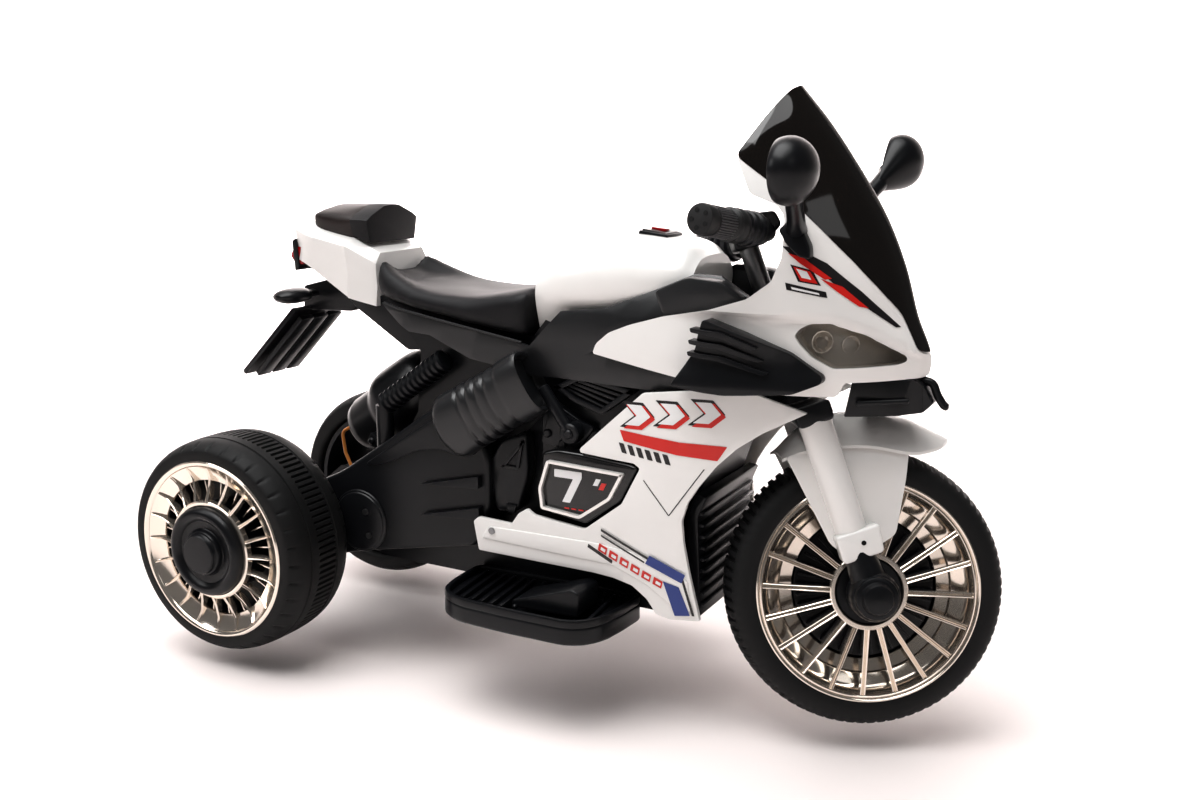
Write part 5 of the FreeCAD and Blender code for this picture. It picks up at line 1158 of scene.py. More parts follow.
@dataclass
class Nose:
    """The white fairing, smoked screen and headlights, parted from one smooth shell."""

    wall: float = 4.0
    fold: float = 8.0
    reach: float = 190.0

    rows: tuple[tuple, ...] = (
        (216, (-300, 104), (-110, 104), (-15, 84), (40, 34), (53, 6)),
        (256, (-300, 104), (-110, 107), (-10, 88), (48, 34), (62, 6)),
        (301, (-300, 98), (-110, 103), (-24, 80), (29, 34), (45, 8)),
        (351, (-190, 92), (-110, 97), (-42, 76), (14, 34), (30, 8)),
        (401, (-190, 86), (-110, 88), (-54, 68), (-7, 32), (8, 8)),
        (451, (-170, 70), (-120, 72), (-72, 54), (-36, 28), (-23, 7)),
        (496, (-140, 48), (-112, 49), (-85, 38), (-64, 21), (-55, 6)),
        (534, (-110, 22), (-102, 20), (-96, 14), (-91, 9), (-87, 4)))
    fairing_edge: tuple[Point, ...] = (
        (-130, 462), (-110, 425), (-82, 414), (-74, 404), (-72, 388), (-72, 362), (-80, 338), (-103, 320),
        (-146, 306), (-200, 295), (-240, 283), (-264, 273), (-279, 260), (-283, 249), (-221, 238),
        (-165, 229), (-100, 222.5), (-13, 222.5), (-5, 238), (60, 238), (72, 256), (56, 265), (36, 306),
        (14, 333), (-7, 357), (-41, 392), (-62, 412), (-90, 435))
    screen_edge: tuple[Point, ...] = (
        (-131, 463), (-90, 435.4), (-62, 412.4), (-41, 392.4), (-7, 357.4), (14, 333.4), (36, 306.4),
        (56, 265.4), (80, 262), (60, 330), (-60, 540), (-90, 533), (-98, 520))
    lens_edge: tuple[Point, ...] = (
        (-55, 284), (-51, 291), (-41, 296.5), (-22, 297), (10, 285), (45, 262.5), (46, 257), (38, 254),
        (-16, 252.5), (-37, 264), (-49, 276))

    def crease(self, along: float, up: float) -> float:
        """How far a point lies under the fold that runs from the winglet over the headlight."""
        line = along_table((
            (-300, 292), (-148, 306), (-92, 305), (-49, 303), (-20, 302), (14, 290), (46, 269),
            (70, 256)), along)
        return min(max((line - up) / 5, 0.0), 1.0)

    def shell(self, inset: float, wall: float) -> Shape:
        """The nose as a closed shell, set in from its outer face by a distance."""
        rows = []
        for up, *ring in self.rows:
            half = []
            for along, wide in ring:
                back = inset * (1.3 if wide < 40 else 0.5)
                half.append(Vector((FRONT_U + along - back, max(wide - inset, 2.0), FRONT.z + up)))
            rows.append(ring_across(half))
        grid = grid_skin(rows, 6, 10)
        for row in grid:
            for point in row:
                deep = self.fold * self.crease(point.x - FRONT_U, point.z - FRONT.z)
                point.y -= math.copysign(min(deep, abs(point.y) * 0.5), point.y)
        inner = []
        for row in grid:
            line = []
            for i, point in enumerate(row):
                along = row[min(i + 1, len(row) - 1)] - row[max(i - 1, 0)]
                normal = Vector((along.y, -along.x, 0)).normalized()
                line.append(point + normal * wall)
            inner.append(line)
        rings = [outer + list(reversed(back)) for outer, back in zip(grid, inner)]
        return skin(rings)

    def room(self, edge: Sequence[Point], corner: float) -> Shape:
        """A prism across the whole nose for parting it."""
        return plate(on_front(edge), self.reach, -self.reach, corner)

    def body(self) -> None:
        """Parts the fairing, the screen and the lenses."""
        fairing = boolean(self.shell(0, self.wall), [
            ("INTERSECT", self.room(self.fairing_edge, 3)), ("DIFFERENCE", self.room(self.lens_edge, 5))])
        Mould("front_fairing_moulded", WHITE_ABS, "white_body", "front_fairing", sharp=38).cast(fairing)
        screen = boolean(self.shell(-0.4, 3.0), [("INTERSECT", self.room(self.screen_edge, 6))])
        Mould("windscreen_smoked", SMOKED, "smoked_screen", "windscreen", sharp=38).cast(screen)
        lens = boolean(self.shell(2.0, 1.6), [("INTERSECT", self.room(self.lens_edge, 5))])
        Mould("headlight_lenses_clear", CLEAR_PC, "clear_lens", "headlight_lenses", sharp=38).cast(lens)

    def lens_room(self, stretch: Point, shift: Point, corner: float) -> Shape:
        """A prism like the lens's, stretched and shifted along and up."""
        edge = [(along * stretch[0] + shift[0], up * stretch[1] + shift[1]) for along, up in self.lens_edge]
        return self.room(edge, corner)

    def lamps(self) -> None:
        """Builds the metallised bowls behind the lenses, each with two round reflectors."""
        bowl = boolean(self.shell(13.0, 1.5), [("INTERSECT", self.lens_room((1.1, 1.05), (0.5, -14), 4))])
        rims = boolean(self.shell(4.5, 9.0), [
            ("INTERSECT", self.lens_room((1.06, 1.02), (0, -5.6), 5)),
            ("DIFFERENCE", self.lens_room((0.93, 0.985), (-0.6, 4.2), 5))])
        dishes = []
        for along, up, wide, size in ((-26, 280, 77, 11), (-2, 276, 58, 9)):
            dish = turned((
                (AXIS, 3.5), (size * 0.3, 4), (size * 0.75, 8), (size, 14), (size + 0.8, 14),
                (size * 0.8, 6), (AXIS, 1)), 12)
            place = (FRONT_U + along - 12, -wide + 12, FRONT.z + up - 1)
            dishes.append(aimed(dish, place, (0.62, -0.76, -0.05)))
        Mould("headlight_bowls", REFLECTOR, "chrome_trim", sharp=12).cast(
            merge([bowl, rims, both_sides(merge(dishes))]))

    def winglets(self) -> None:
        """Builds the swept winglets with three fins at their rear."""
        edge = on_front((
            (-141, 300), (-146, 284), (-150, 268), (-176, 228), (-118, 222.5), (-50, 227), (-22, 239),
            (-22, 246), (-55, 268)))

        def flare(u: float, z: float) -> float:
            """Half-width of the outer face, widest at the rear and low down."""
            along = u - FRONT_U
            out = along_table(((-176, 122), (-140, 125), (-100, 117), (-60, 106), (-22, 96)), along)
            up = z - FRONT.z
            return out + 5 * math.exp(-((up - 230) / 14) ** 2) - 3 * math.exp(-((up - 262) / 16) ** 2)

        parts = [Panel(edge, flare, 22, 4, 2.2, 9).build()]
        for k in range(3):
            top = 291 - k * 12.5
            fin = on_front((
                (-153 - k * 2, top), (-120, top - 3), (-84 + k * 6, top - 18), (-90 + k * 6, top - 20),
                (-124, top - 8), (-152 - k * 2, top - 4.5)))
            parts.append(Panel(fin, lambda u, z: flare(u, z) + 5.5, 14, 1.5, 1.7, 12).build())
        Mould("winglets_finned", BLACK_PP, "black_plastic", "winglets").cast(both_sides(merge(parts)))

    def chin(self) -> None:
        """Builds the chin guard under the nose with its hooked tip."""
        side = on_front(((-12, 197), (60, 201), (70, 212), (60, 230), (50, 237.6), (-4, 237.6)))
        bm = plate(side, 56, -56, 2)
        slice_up(bm, [FRONT_U + along for along in (10, 25, 40, 50, 60)], 0)
        for vert in bm.verts:
            wide = along_table(
                ((-14, 54), (10, 46), (25, 41), (40, 34), (60, 14), (78, 10)), vert.co.x - FRONT_U)
            vert.co.y = math.copysign(wide - 3 * (vert.co.z < FRONT.z + 205), vert.co.y)
        round_edges(bm, 1.5, 2)
        knots = on_front(((52, 234), (66, 231), (72, 219), (79, 209), (84, 208)))
        path = smooth_line([(u, 0, z) for u, z in knots], 4)
        hook = tube(path, [4.5] * (len(path) - 2) + [3.6, 2.6], 12)
        ribs = [
            bar((FRONT_U + 2, -s * 56, FRONT.z + 214), (FRONT_U + 50, -s * 30, FRONT.z + 216), 3)
            for s in (-1, 1)]
        Mould("chin_guard_moulded", BLACK_PP, "black_plastic", "chin_guard").cast(merge([bm, hook] + ribs))

    def stickers(self) -> None:
        """Lays the nose stripes on the fairing."""
        shell = self.shell(-0.35, 1.0)
        tree = BVHTree.FromBMesh(shell)
        shapes = {
            STICKER_BLACK: (
                (
                    (-72, 374), (-58, 372), (-30, 357), (2, 329), (38, 292), (34, 292), (-4, 322),
                    (-34, 347), (-62, 364)),
                ((-66, 338), (-28, 329), (-26, 323), (-64, 331)),
                ((-63, 356), (-42, 350), (-33, 335), (-54, 339))),
            STICKER_RED: (
                ((-66, 367), (-52, 363), (-24, 342), (-30, 341), (-54, 357)),
                ((-60, 354), (-44, 349), (-36, 337), (-52, 340)),
                ((-34, 342), (-14, 334), (10, 312), (2, 314), (-18, 329))),
            STICKER_WHITE: (
                ((-57, 352), (-47, 349), (-42, 341), (-51, 343)),
                ((-60, 334), (-34, 328), (-33, 326), (-59, 331.6)))}
        for level, (finish, outlines) in enumerate(shapes.items()):
            parts = []
            for outline in outlines:
                flat = Panel(on_front(outline), lambda u, z: 0.0, pitch=6.0).sheet(on_front(outline), 0.0)
                for vert in flat.verts:
                    hit = tree.ray_cast(Vector((vert.co.x, -self.reach, vert.co.z)), Vector((0, 1, 0)))[0]
                    vert.co.y = (hit.y if hit else -90.0) - 0.3 * level
                parts.append(flat)
            Mould(f"nose_{finish.name}", finish, "white_body").cast(both_sides(merge(parts)))
        shell.free()

    def build(self) -> None:
        """Builds the nose."""
        self.body()
        self.lamps()
        self.winglets()
        self.chin()
        self.stickers()


@dataclass
class UpperBody:
    """Tank, knee panels, seat, pillion pad and tail."""

    voxel: float = 4.5
    frames: int = 20
    rubs: int = 6
    cover_mass: float = 0.3
    pressure: float = 1.2
    most_puff: float = 2.0

    def tank(self) -> None:
        """Builds the tank as one smooth moulding with a knee fold on each side."""
        rows = []
        sections = (
            (377, (54, 0), (66, 16), (40, 58)), (400, (62, 0), (74, 18), (46, 72)),
            (425, (68, 0), (79, 20), (48, 82)), (480, (70, 0), (79, 22), (48, 79)),
            (545, (62, 0), (68, 20), (40, 66)), (568, (52, 10), (57, 24), (34, 50)))
        for u, *ring in sections:
            floor = 435 + (u - 395) / 11
            half = right_row(u, ring, floor)
            half[0].z -= along_table(((377, 26), (400, 12), (430, 0)), u)
            (shoulder, low), (roof, high) = ring[1:]
            half.insert(2, Vector((u, -(shoulder * 0.84 + roof * 0.16), floor + (low + high) / 2)))
            half.append(Vector((u, 0, floor + high + 3)))
            rows.append(ring_across(half, 1))
        bm = skin(grid_skin(rows, 5, 6))
        Mould("tank_cover_moulded", WHITE_ABS, "white_body", "tank_cover", sharp=50).cast(bm)
        dash = [plate(((480, 514), (486, 529), (520, 525), (524, 514)), -21, 21, 2, 2.5, 3)]
        dash.append(loop_band(((488, 528), (518, 524), (518, 526), (488, 530.5)), 0.6, -17, 17, 0, 0.2))
        Mould("dash_panel_moulded", BLACK_PP, "black_plastic", "dash_panel").cast(merge(dash))
        switch = plate(((494, 524), (512, 522), (512, 530), (494, 532)), -6, 6, 1, 1)
        Mould("switch_rocker_moulded", RED_LENS, "black_plastic", "switch_rocker", "rocker").cast(switch)

    def knee_panels(self) -> None:
        """Builds the dark panels under the seat and along the tank."""
        edge = [
            (162, 433), (372, 401), (381, 399), (421, 441), (476, 448), (522, 466), (555, 480), (572, 488),
            (602, 487), (638, 469), (598, 456), (533, 441), (491, 425), (461, 398), (528, 386), (585, 376),
            (650, 371.5), (650, 370.5), (585, 369.5), (534, 362.5), (419, 366), (382, 366), (299, 378),
            (243, 401), (212, 403)]

        def side(u: float, z: float) -> float:
            """Half-width: full at the knee and drawn in at the rear and above."""
            return along_table(
                ((150, 69), (200, 86), (372, 89), (700, 89)), u) - 0.006 * max(z - 418, 0) ** 2

        parts = [Panel(edge, side, 5, 3, 2, 14).build()]
        strip = [(168, 435), (372, 404), (372, 401.6), (168, 432.6)]
        parts.append(Panel(strip, lambda u, z: side(u, z) + 1.5, 3, 0.5, 0.8, 14).build())
        inner = plate((
            (534, 470), (572, 487), (612, 484), (640, 466), (604, 420), (560, 410)), -60, -84, 6, 3)
        Mould("centre_panels_moulded", BLOWN_PP, "black_plastic", "centre_panels").cast(
            both_sides(merge(parts + [inner])))

    def puffed(self, bm: Shape, name: str, pinned: float) -> Shape:
        """Blows a cushion form up as a sewn cover over foam.

        Args:
            bm: the closed form in millimetres; it is freed.
            name: the name of the passing object.
            pinned: share of the height from below that stays where it is.

        Returns:
            The puffed form in millimetres.
        """
        bm.transform(SCALE)
        cover = shown(bm, name)
        remesh = cover.modifiers.new("remesh", "REMESH")
        remesh.mode = "VOXEL"
        remesh.voxel_size = self.voxel * MM
        graph = bpy.context.evaluated_depsgraph_get()
        fine = bpy.data.meshes.new_from_object(cover.evaluated_get(graph))
        cover.modifiers.clear()
        cover.data = fine
        rest = [vert.co.copy() for vert in fine.vertices]
        low = min(co.z for co in rest)
        high = max(co.z for co in rest)
        pins = cover.vertex_groups.new(name="pins")
        pins.add([i for i, co in enumerate(rest) if co.z < low + (high - low) * pinned], 1.0, "REPLACE")
        cloth = cover.modifiers.new("cloth", "CLOTH")
        cloth.settings.quality = 6
        cloth.settings.mass = self.cover_mass
        cloth.settings.use_pressure = True
        cloth.settings.uniform_pressure_force = self.pressure
        cloth.settings.effector_weights.gravity = 0.0
        cloth.settings.vertex_group_mass = "pins"
        cloth.point_cache.frame_start = 1
        cloth.point_cache.frame_end = self.frames
        scene = bpy.context.scene
        for number in range(1, self.frames + 1):
            scene.frame_set(number)
        graph = bpy.context.evaluated_depsgraph_get()
        blown = bpy.data.meshes.new_from_object(cover.evaluated_get(graph))
        scene.frame_set(1)
        cover.modifiers.clear()
        for vert, was in zip(blown.vertices, rest):
            move = vert.co - was
            if move.length > self.most_puff * MM:
                vert.co = was + move.normalized() * self.most_puff * MM
        cover.data = blown
        result = bmesh.new()
        result.from_mesh(cover.data)
        bpy.data.objects.remove(cover)
        for _ in range(self.rubs):
            bmesh.ops.smooth_vert(
                result, verts=result.verts[:], factor=0.5, use_axis_x=True, use_axis_y=True,
                use_axis_z=True)
        result.transform(Matrix.Scale(1 / MM, 4))
        return result

    def seat(self) -> None:
        """Builds the rider's cushion: dished, with two raised corners behind and a raised nose."""
        wide = half_width("seat_cushion")
        rows = []
        for u, narrow, edge, crown, corner in (
                (146, 30, 36, 34, 6), (158, 20, 30, 27, 7), (176, 13, 24, 21, 5), (215, 4, 18, 20, 1),
                (285, 1, 24, 27, 0), (335, 3, 38, 41, 0), (362, 5, 48, 51, 0), (371, 11, 50, 54, 0)):
            floor = 437 - (u - 165) * 31 / 206
            half = wide - narrow
            right = (
                (half - 4, 0), (half, edge * 0.35), (half, edge * 0.8), (half - 6, edge + corner),
                (half - 20, edge + 3 + corner * 0.8), (half * 0.4, crown + 1), (0, crown))
            rows.append(ring_across(right_row(u, right, floor), 1))
        form = skin(grid_skin(rows, 4, 5))
        cushion = self.puffed(form, "seat_cover", 0.12)
        piece = Mould(
            "seat_cushion_upholstered", LEATHERCLOTH, "seat_vinyl", "seat_cushion", sharp=60).cast(cushion)

    def pad(self) -> None:
        """Builds the pillion pad with its ridge, and the black moulding at its front."""
        wide = half_width("pillion_pad")
        rows = []
        for u, low, shoulder, ridge, narrow in (
                (41, 518, 534, 543, 7), (49, 511, 534, 546, 2), (84, 506, 532, 547, 1),
                (108, 503, 530, 547, 1)):
            half = wide - narrow
            right = (
                (half - 6, low), (half, shoulder), (half * 0.86, shoulder + 4), (half * 0.4, ridge - 3),
                (0, ridge))
            rows.append(ring_across(right_row(u, right), 1))
        form = skin(grid_skin(rows, 4, 5))
        cushion = self.puffed(form, "pad_cover", 0.15)
        piece = Mould(
            "pillion_pad_upholstered", PAD_CLOTH, "seat_vinyl", "pillion_pad", sharp=60).cast(cushion)
        front = []
        for u, shrink, lift in ((104, 0.0, 0.0), (122, 0.0, 0.0), (128, 3.0, -1.0), (129, 7.0, -3.0)):
            low = 510 - (u - 104) * 0.35
            half = wide - 1 - shrink
            right = (
                (half - 6, low), (half, 530 + lift), (half * 0.8, 536 + lift), (half * 0.3, 546.5 + lift),
                (0, 547.5 + lift))
            front.append(ring_across(right_row(u, right), 1))
        Mould("pillion_pad_front", LEATHERCLOTH, "seat_vinyl").cast(skin(front))

    def tail(self) -> None:
        """Builds the tail cover with its folded sides."""
        wide = half_width("tail_cover")
        rows = []
        for u, *ring in (
                (14, (26, 388), (14, 381), (16, 343)), (40, (21, 390), (4, 374), (9, 334)),
                (64, (20, 383.2), (2, 370), (7, 321)), (100, (18, 373.6), (0, 363.6), (4, 301.5)),
                (107, (18, 371.6), (0.6, 362), (4.2, 298)), (141, (22, 355), (13, 342), (11, 290))):
            rows.append(right_row(u, [(wide - narrow, up) for narrow, up in ring], REAR_Z))
        rings = []
        dent = Vector((0, 2.5, 0))
        for top, mid, low in refined(rows, 6):
            line = [top + (mid - top) * share for share in (0, 0.35, 0.7)]
            line += [mid, mid + (low - mid) * 0.12, mid + (low - mid) * 0.55 + dent, low]
            rings.append(ring_across(line))
        bm = skin(rings)
        round_edges(bm, 1.6, 3, 28)
        tray = ((24, 466), (56, 462), (104, 419), (181, 372), (212, 375))
        room = plate(((24, 501), *tray, (165, 437), (141, 437), (100, 471), (60, 501)), 46.5, -46.5)
        bm = boolean(bm, [("DIFFERENCE", room)])
        Mould("tail_cover_moulded", WHITE_ABS, "white_body", "tail_cover", sharp=30).cast(bm)
        under = plate(((24, 500), *tray, (165, 436), (141, 436), (100, 470), (60, 500)), 46, -46, 3, 2.5, 3)
        rim = plate(((9, 500), (15, 504), (19, 466), (12, 462)), 53.5, -53.5, 2, 1.5)
        Mould("tail_undertray_moulded", BLACK_PP, "black_plastic", "tail_undertray").cast(
            merge([under, rim]))
        lamp = plate(((24, 494), (9, 492), (3, 481), (10, 472), (24, 470)), 51, -51, 3, 1.5)
        ribs = [plate(((6, 474), (8, 474), (8, 491), (6, 491)), y, y + 1.2) for y in range(-46, 47, 7)]
        Mould("tail_light_ribbed", RED_LENS, "red_lens", "tail_light").cast(merge([lamp] + ribs))

    def bracket(self) -> None:
        """Builds the plate bracket with its ribbed board, and the turn signals."""
        arm = plate((
            (-4, 439), (36, 449), (70, 449.5), (98, 424.4), (75, 410), (-6, 407)), 21, -21, 4, 2.5, 3)
        board = plate(((10, 411), (-82, 319), (-86, 321), (-86, 325), (4, 414)), 54, -54, 1, 1)
        rib = ((10, 403), (-70, 323), (-66, 317), (15, 398))
        parts = [arm, board] + [plate(rib, y - 8, y + 16, 1, 1.8) for y in (-40, -12, 16)]
        Mould("plate_bracket_ribbed", BLACK_PP, "black_plastic", "plate_bracket").cast(merge(parts))
        profile = [
            (AXIS, 20), (6, 20), (6, 34), (8, 36), (10.5, 40), (12.6, 50), (12.8, 62), (11.6, 74),
            (8.6, 83), (4, 87.5), (AXIS, 88)]
        signal = turned(profile, 40)
        bmesh.ops.scale(signal, vec=(1.5, 1, 0.78), verts=signal.verts[:])
        signal.transform(Matrix.Translation((12, 0, 431)))
        Mould("turn_signals_moulded", BLACK_PP, "black_plastic", "turn_signals").cast(both_sides(signal))

    def build(self) -> None:
        """Builds the upper body."""
        self.tank()
        self.knee_panels()
        self.seat()
        self.pad()
        self.tail()
        self.bracket()


@dataclass
class Fork:
    """Mudguard with its shrouds, legs, crown, handlebar and grips, all turning with the steering."""

    caster: float = math.radians(21.2)
    clamp: float = 405.0
    wheel_room: float = 53.0
    band_ribs: int = 36
    end_holes: int = 5

    def stem(self, distance: float, y: float = 0.0, ahead: float = 0.0) -> Vector:
        """A point at a distance up the steering axis."""
        return Vector((-math.sin(self.caster) * distance + math.cos(self.caster) * ahead, y,
                       math.cos(self.caster) * distance + math.sin(self.caster) * ahead))

    def leaned(self, bm: Shape) -> Shape:
        """Tips a shape drawn upright to the steering axis."""
        bm.transform(Matrix.Rotation(-self.caster, 4, "Y"))
        return bm

    def mudguard(self) -> None:
        """Builds the arch with its pointed tips, the two shrouds and their tube ridges."""
        stations = (
            (-100, 50, 141, 137), (-80, 53, 166, 146), (-50, 55, 184, 153), (-10, 56, 191, 156),
            (33, 55, 187, 151), (55, 44, 179, 153), (72, 28, 171.5, 157), (82, 12, 167, 161),
            (86, 3, 164.5, 163.5))
        shares = [k / 4 for k in range(-4, 5)]
        rows = [
            [Vector((x, share * wide, low + (high - low) * (1 - abs(share) ** 2.2))) for share in shares]
            for x, wide, high, low in stations]
        wall = Vector((0, 0, -3))
        rings = [row + [point + wall for point in reversed(row)] for row in grid_skin(rows, 3, 5)]
        parts = [skin(rings)]
        edge = (
            (-97, 140), (-60, 152), (-10, 156), (33, 150), (30, 118), (23, 64), (12, 55), (-4, 47),
            (-27, 37), (-46, 50))
        for side in (-1, 1):
            shroud = plate(edge, side * self.wheel_room, side * 56.5, 5, 1.2, 3)
            slice_up(shroud, (60, 80, 100, 118, 130, 140), 2)
            for vert in shroud.verts:
                vert.co.y -= side * 6 * max((vert.co.z - 118) / 34, 0) ** 2
            parts.append(shroud)
            path = [self.stem(s, side * 61) for s in (41, 44, 120, 190, 193)]
            ridge = tube(path, [16, 17.2, 17.6, 18, 17.4], 36)
            for vert in ridge.verts:
                vert.co.y = side * max(side * vert.co.y, self.wheel_room)
            parts.append(ridge)
            clip = plate(((-20, 42), (24, 42), (28, 72), (-20, 72)), side * 54, side * 79.5, 4, 3, 3)
            parts.append(self.leaned(clip))
        Mould("front_mudguard_moulded", WHITE_ABS, "white_body", "front_mudguard", STEERING, 34).cast(
            merge(parts), FORK)
        # The screw holes are thin black discs on the shrouds: painted shade that stands for the holes'
        # depth.
        hole_shades = [
            bar(self.stem(58, side * 79, 6), self.stem(58, side * 80.2, 6), 2.6, 16, 0.2)
            for side in (-1, 1)]
        Mould("shroud_screw_holes", BLACK_GLOSS, "black_plastic", body=STEERING).cast(merge(hole_shades), FORK)

    def legs(self) -> None:
        """Builds the black fork feet with their stepped axle caps, and the crown."""
        profile = [
            (AXIS, 50), (24, 50), (26, 52), (26.4, 60), (26, 78), (24.6, 82), (23, 84), (22.8, 86),
            (22, 88), (20.4, 89), (17.6, 89.4), (16.6, 90.6), (16, 94.6), (14.6, 96.6), (12, 97.4),
            (AXIS, 98)]
        parts = [both_sides(turned(profile, 64))]
        for side in (-1, 1):
            path = [
                self.stem(up, side * out)
                for up, out in ((4, 66), (34, 66), (56, 65), (100, 64), (200, 64))]
            parts.append(tube(path, [20, 17, 13, 12, 12], 28))
        Mould("fork_legs_moulded", BLACK_PP, "black_plastic", "fork_legs", STEERING).cast(
            merge(parts), FORK)
        middle = ((-19.5, 194), (19.5, 194), (19.5, 211.5), (-19.5, 211.5))
        block = [self.leaned(plate(middle, -78, 78, 4, 3, 3))]
        end = ((-19.8, 190), (19, 190), (19, 211.8), (-19.8, 211.8))
        for side in (-1, 1):
            block.append(self.leaned(plate(end, side * 46, side * 78.5, 5, 3, 3)))
        Mould("fork_crown_moulded", BLACK_PP, "black_plastic", "fork_crown", STEERING).cast(
            merge(block), FORK)

    def bars(self) -> None:
        """Builds the handlebar with its clamp, brackets and controls, and the ribbed grips."""
        middle = self.stem(self.clamp)
        metal = [self.leaned(plate(((-17, 388), (17, 388), (17, 422), (-17, 422)), -22, 22, 4, 3, 3))]
        rubber = []
        bands = []
        hole_shade_discs = []
        for side in (-1, 1):
            bend_at = middle + Vector((15, side * 76, -5))
            end = middle + Vector((-61, side * 170, -5))
            way = (end - bend_at).normalized()
            start = end - way * 82
            path = [
                middle + Vector((0, side * 10, 0)), middle + Vector((6, side * 40, -2)), bend_at,
                bend_at + way * 12]
            metal.append(tube(path, [11, 10, 10, 9]))
            corners = ((-16, -15), (-1, -17), (16, 4), (8, 18), (-16, 14))
            bracket = [(bend_at.x + along, middle.z + up) for along, up in corners]
            metal.append(plate(bracket, side * 58, side * 76, 4, 3, 3))
            bolt = turned(((AXIS, 0), (7.5, 0), (8, 1), (8, 3), (5, 4.5), (4.6, 3.4), (AXIS, 3.4)), 28)
            metal.append(aimed(bolt, (bend_at.x - 4, side * 76, middle.z - 4), (0, side, 0)))
            housing = [
                (AXIS, -14), (13, -14), (15, -12), (15, -2), (18, 0), (18.6, 3), (18, 6), (14.6, 8),
                (14.6, 11), (18, 13), (18.4, 15.6), (17.6, 18), (14.6, 20), (14.6, 22.5), (17.4, 24),
                (17.8, 26.4), (16.8, 29), (14, 30), (AXIS, 30)]
            metal.append(aimed(turned(housing, 40), start - way * 14, way))
            grip = [
                (9, 16), (17.2, 16), (17.8, 18), (17.8, 23), (16.8, 25), (16, 27), (17.4, 28.5), (17.4, 33),
                (16, 34.5), (14.8, 36), (14.8, 66), (15.6, 68), (15.8, 72), (15.8, 79), (15, 81.4),
                (13.4, 82), (AXIS, 82), (AXIS, 80), (9, 80)]
            rubber.append(aimed(turned(grip, 56), start, way))
            rib = plate(((14.6, -0.75), (15.7, -0.6), (15.7, 0.6), (14.6, 0.75)), 37, 65, 0, 0.3)
            ring_copies(rib, self.band_ribs)
            bands.append(aimed(rib, start, way))
            # Each hole in a grip's end is a dark matte disc laid on the end face: painted shade that stands
            # for the hole.
            for k in range(self.end_holes):
                a = math.tau * k / self.end_holes
                hole_shade = turned(((AXIS, 82.1), (2.5, 82.1), (2.5, 82.5), (AXIS, 82.5)), 16)
                hole_shade.transform(Matrix.Translation((9 * math.cos(a), 0, 9 * math.sin(a))))
                hole_shade_discs.append(aimed(hole_shade, start, way))
        Mould("handlebar_moulded", BLACK_PP, "black_plastic", "handlebar", STEERING).cast(
            merge(metal), FORK)
        Mould("handlebar_grips_ribbed", GRIP_PVC, "grip_rubber", "handlebar_grips", STEERING).cast(
            merge(rubber), FORK)
        Mould("grip_bands", GREY_PVC, "grip_rubber", body=STEERING).cast(merge(bands), FORK)
        Mould("grip_end_holes", EVA_TYRE, "black_plastic", body=STEERING).cast(merge(hole_shade_discs), FORK)

    def build(self) -> None:
        """Builds all that turns with the steering, save the wheel."""
        self.mudguard()
        self.legs()
        self.bars()


@dataclass
class Mirrors:
    """Teardrop mirror housings on stalks, with wedge feet at the screen's edge."""

    radius: float = 33.0
    centre: Place = (721.0, -190.0, 602.0)
    foot: Place = (688.0, -66.0, 536.0)

    def build(self) -> None:
        """Builds both mirrors."""
        centre = Vector(self.centre)
        foot = Vector(self.foot)
        down = (foot - centre).normalized()
        bm = bmesh.new()
        bmesh.ops.create_uvsphere(bm, u_segments=40, v_segments=24, radius=1.0)
        for vert in bm.verts:
            pull = max(vert.co.dot(down), 0.0)
            size = Vector((0.8, 1.12, 0.96)) * self.radius
            aside = vert.co - down * vert.co.dot(down) * (pull > 0)
            aside *= 1 - 0.55 * pull**2
            drawn = down * (self.radius * (1 + pull) * pull)
            vert.co = Vector((aside.x * size.x, aside.y * size.y, aside.z * size.z)) + drawn
        face = -0.3 * self.radius
        cut = bmesh.ops.bisect_plane(bm, geom=everything(bm), dist=CUT_REACH, plane_co=(face, 0, 0),
                                     plane_no=(-1, 0, 0), clear_outer=True)["geom_cut"]
        bmesh.ops.holes_fill(bm, edges=only(cut, bmesh.types.BMEdge), sides=0)
        tidy_normals(bm)
        round_edges(bm, 3.0, 3, 40)
        bm.transform(Matrix.Translation(centre))
        neck = centre + down * self.radius * 1.25
        knots = [centre + down * self.radius * 0.9, neck, neck.lerp(foot, 0.55) + Vector((0, 0, -2)),
                 foot + Vector((0, -5, 2)), foot + Vector((3, 2, -10))]
        path = smooth_line(knots, 4)
        stalk = tube(path, [13 - 4 * math.sin(math.pi * min(k / 14, 1)) for k in range(len(path))])
        edge = ((672, 540), (684, 552), (694, 546), (706, 524), (708, 512), (696, 514), (682, 526))
        wedge = Panel(edge, lambda u, z: 84 - (u - 690) * 0.1 - (z - 530) * 0.3, 14, 3, 2.5, 8).build()
        Mould("mirrors_moulded", BLACK_PP, "black_plastic", "mirrors", sharp=40).cast(
            both_sides(merge([bm, stalk, wedge])))
        glass = bmesh.new()
        bmesh.ops.create_circle(glass, cap_ends=True, segments=48, radius=1.0)
        glass.transform(Matrix.Rotation(math.pi / 2, 4, "Y"))
        bmesh.ops.scale(glass, vec=(1, self.radius * 0.92, self.radius * 0.74), verts=glass.verts[:])
        bmesh.ops.recalc_face_normals(glass, faces=glass.faces[:])
        glass.transform(Matrix.Translation(centre + Vector((face - 0.6, 0, 0))))
        thicken(glass, (1.2, 0, 0))
        Mould("mirror_glasses_silvered", MIRROR, "mirror_glass", "mirror_glasses").cast(both_sides(glass))


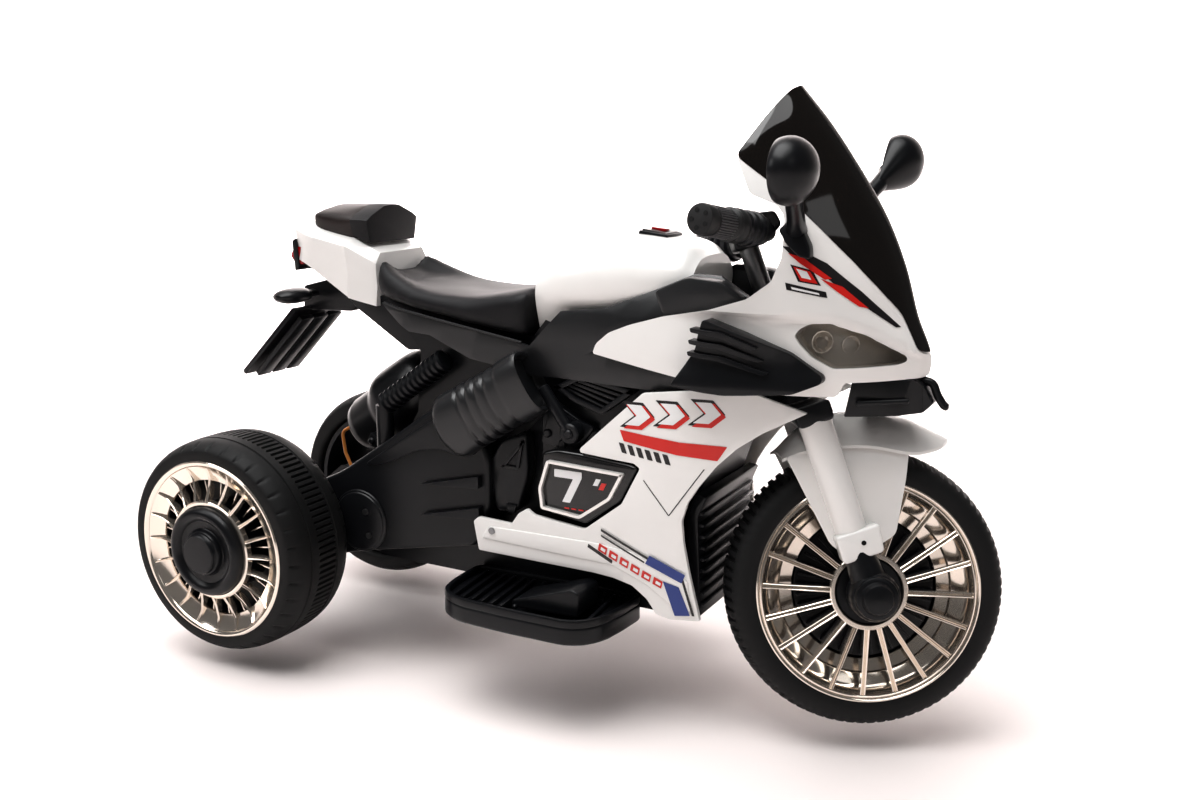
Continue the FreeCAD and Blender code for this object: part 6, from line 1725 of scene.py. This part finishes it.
@dataclass
class Studio:
    """Floor, soft light and the camera at the photograph's place."""

    camera_place: Place = (1115.5, -1298.6, 637.8)
    camera_way: Place = (-0.4590, 0.8636, -0.2084)
    lens: float = 37.946
    sensor: float = 36.0
    sky_power: float = 2.3
    sky_spread: float = math.radians(64)
    sky_turn: Place = (math.radians(9), math.radians(-8), 0)
    world_power: float = 0.12
    gamma: float = 0.86
    middle: Place = (0, 0, 0.3)

    def camera(self) -> None:
        """Places the camera."""
        data = bpy.data.cameras.new("camera")
        data.lens = self.lens
        data.sensor_width = self.sensor
        camera = linked("camera", data)
        camera.location = BODY @ Vector(self.camera_place)
        camera.rotation_mode = "QUATERNION"
        camera.rotation_quaternion = Vector(self.camera_way).to_track_quat("-Z", "Y")
        bpy.context.scene.camera = camera

    def floor(self) -> None:
        """Lays the pale floor, swept up behind into a wall."""
        bm = bmesh.new()
        line = (
            (-24, -60, 0), (-24, -9, 0), (-24, 5, 0), (-24, 7.6, 0.4), (-24, 9, 1.8), (-24, 9.4, 4),
            (-24, 9.5, 14))
        edges = chain(bm, smooth_line(line, 8))
        grown = bmesh.ops.extrude_edge_only(bm, edges=edges)["geom"]
        bmesh.ops.translate(bm, verts=only(grown, bmesh.types.BMVert), vec=(48, 0, 0))
        bm.transform(Matrix.Rotation(math.radians(28), 4, "Z"))
        bmesh.ops.recalc_face_normals(bm, faces=bm.faces[:])
        floor = shown(smoothed(bm), "studio_floor")
        paint = Finish("painted_studio_floor", "F4EDEB", "F2EAE8", 0.6, grain=2.0, depth=0.01, mottle=900.0)
        floor.data.materials.append(paint.build())

    def light(self, name: str, place: Place, size: float, power: float, target: Place) -> None:
        """Hangs one soft box.

        Args:
            name: its name.
            place: where it hangs, in metres.
            size: its side, in metres.
            power: its power in watts.
            target: what it faces.
        """
        data = bpy.data.lights.new(name, "AREA")
        data.size = size
        data.energy = power
        lamp = linked(name, data)
        lamp.location = place
        lamp.rotation_mode = "QUATERNION"
        lamp.rotation_quaternion = (Vector(target) - Vector(place)).to_track_quat("-Z", "Y")

    def build(self) -> None:
        """Sets up the studio."""
        self.camera()
        self.floor()
        self.light("soft_box_above", (-0.2, -0.5, 2.4), 1.6, 30, self.middle)
        self.light("soft_box_left", (-1.9, -1.6, 1.9), 0.9, 10, self.middle)
        self.light("soft_box_front", (2.0, -1.2, 1.9), 0.7, 1.5, self.middle)
        self.light("backdrop_wash", (-1.9, 3.5, 5.0), 7.0, 1700, (-4.5, 8.4, 1.5))
        sky = bpy.data.lights.new("ceiling_wash", "SUN")
        sky.energy = self.sky_power
        sky.angle = self.sky_spread
        linked("ceiling_wash", sky).rotation_euler = self.sky_turn
        world = bpy.data.worlds.new("white_room")
        world.use_nodes = True
        shade = world.node_tree.nodes["Background"]
        shade.inputs["Color"].default_value = srgb("FFFDFC")
        shade.inputs["Strength"].default_value = self.world_power
        bpy.context.scene.world = world
        bpy.context.scene.view_settings.view_transform = "Standard"
        bpy.context.scene.view_settings.gamma = self.gamma


def main() -> None:
    """Dresses the bike piece by piece and sets up the studio."""
    logging.basicConfig(level=logging.INFO, format="%(name)s %(message)s")
    dress_nodes()
    FrontWheel().build()
    for side in Side:
        RearWheel(side).build()
    SideBody().build()
    Nose().build()
    UpperBody().build()
    Fork().build()
    Mirrors().build()
    Studio().build()


if __name__ == "__main__":
    main()
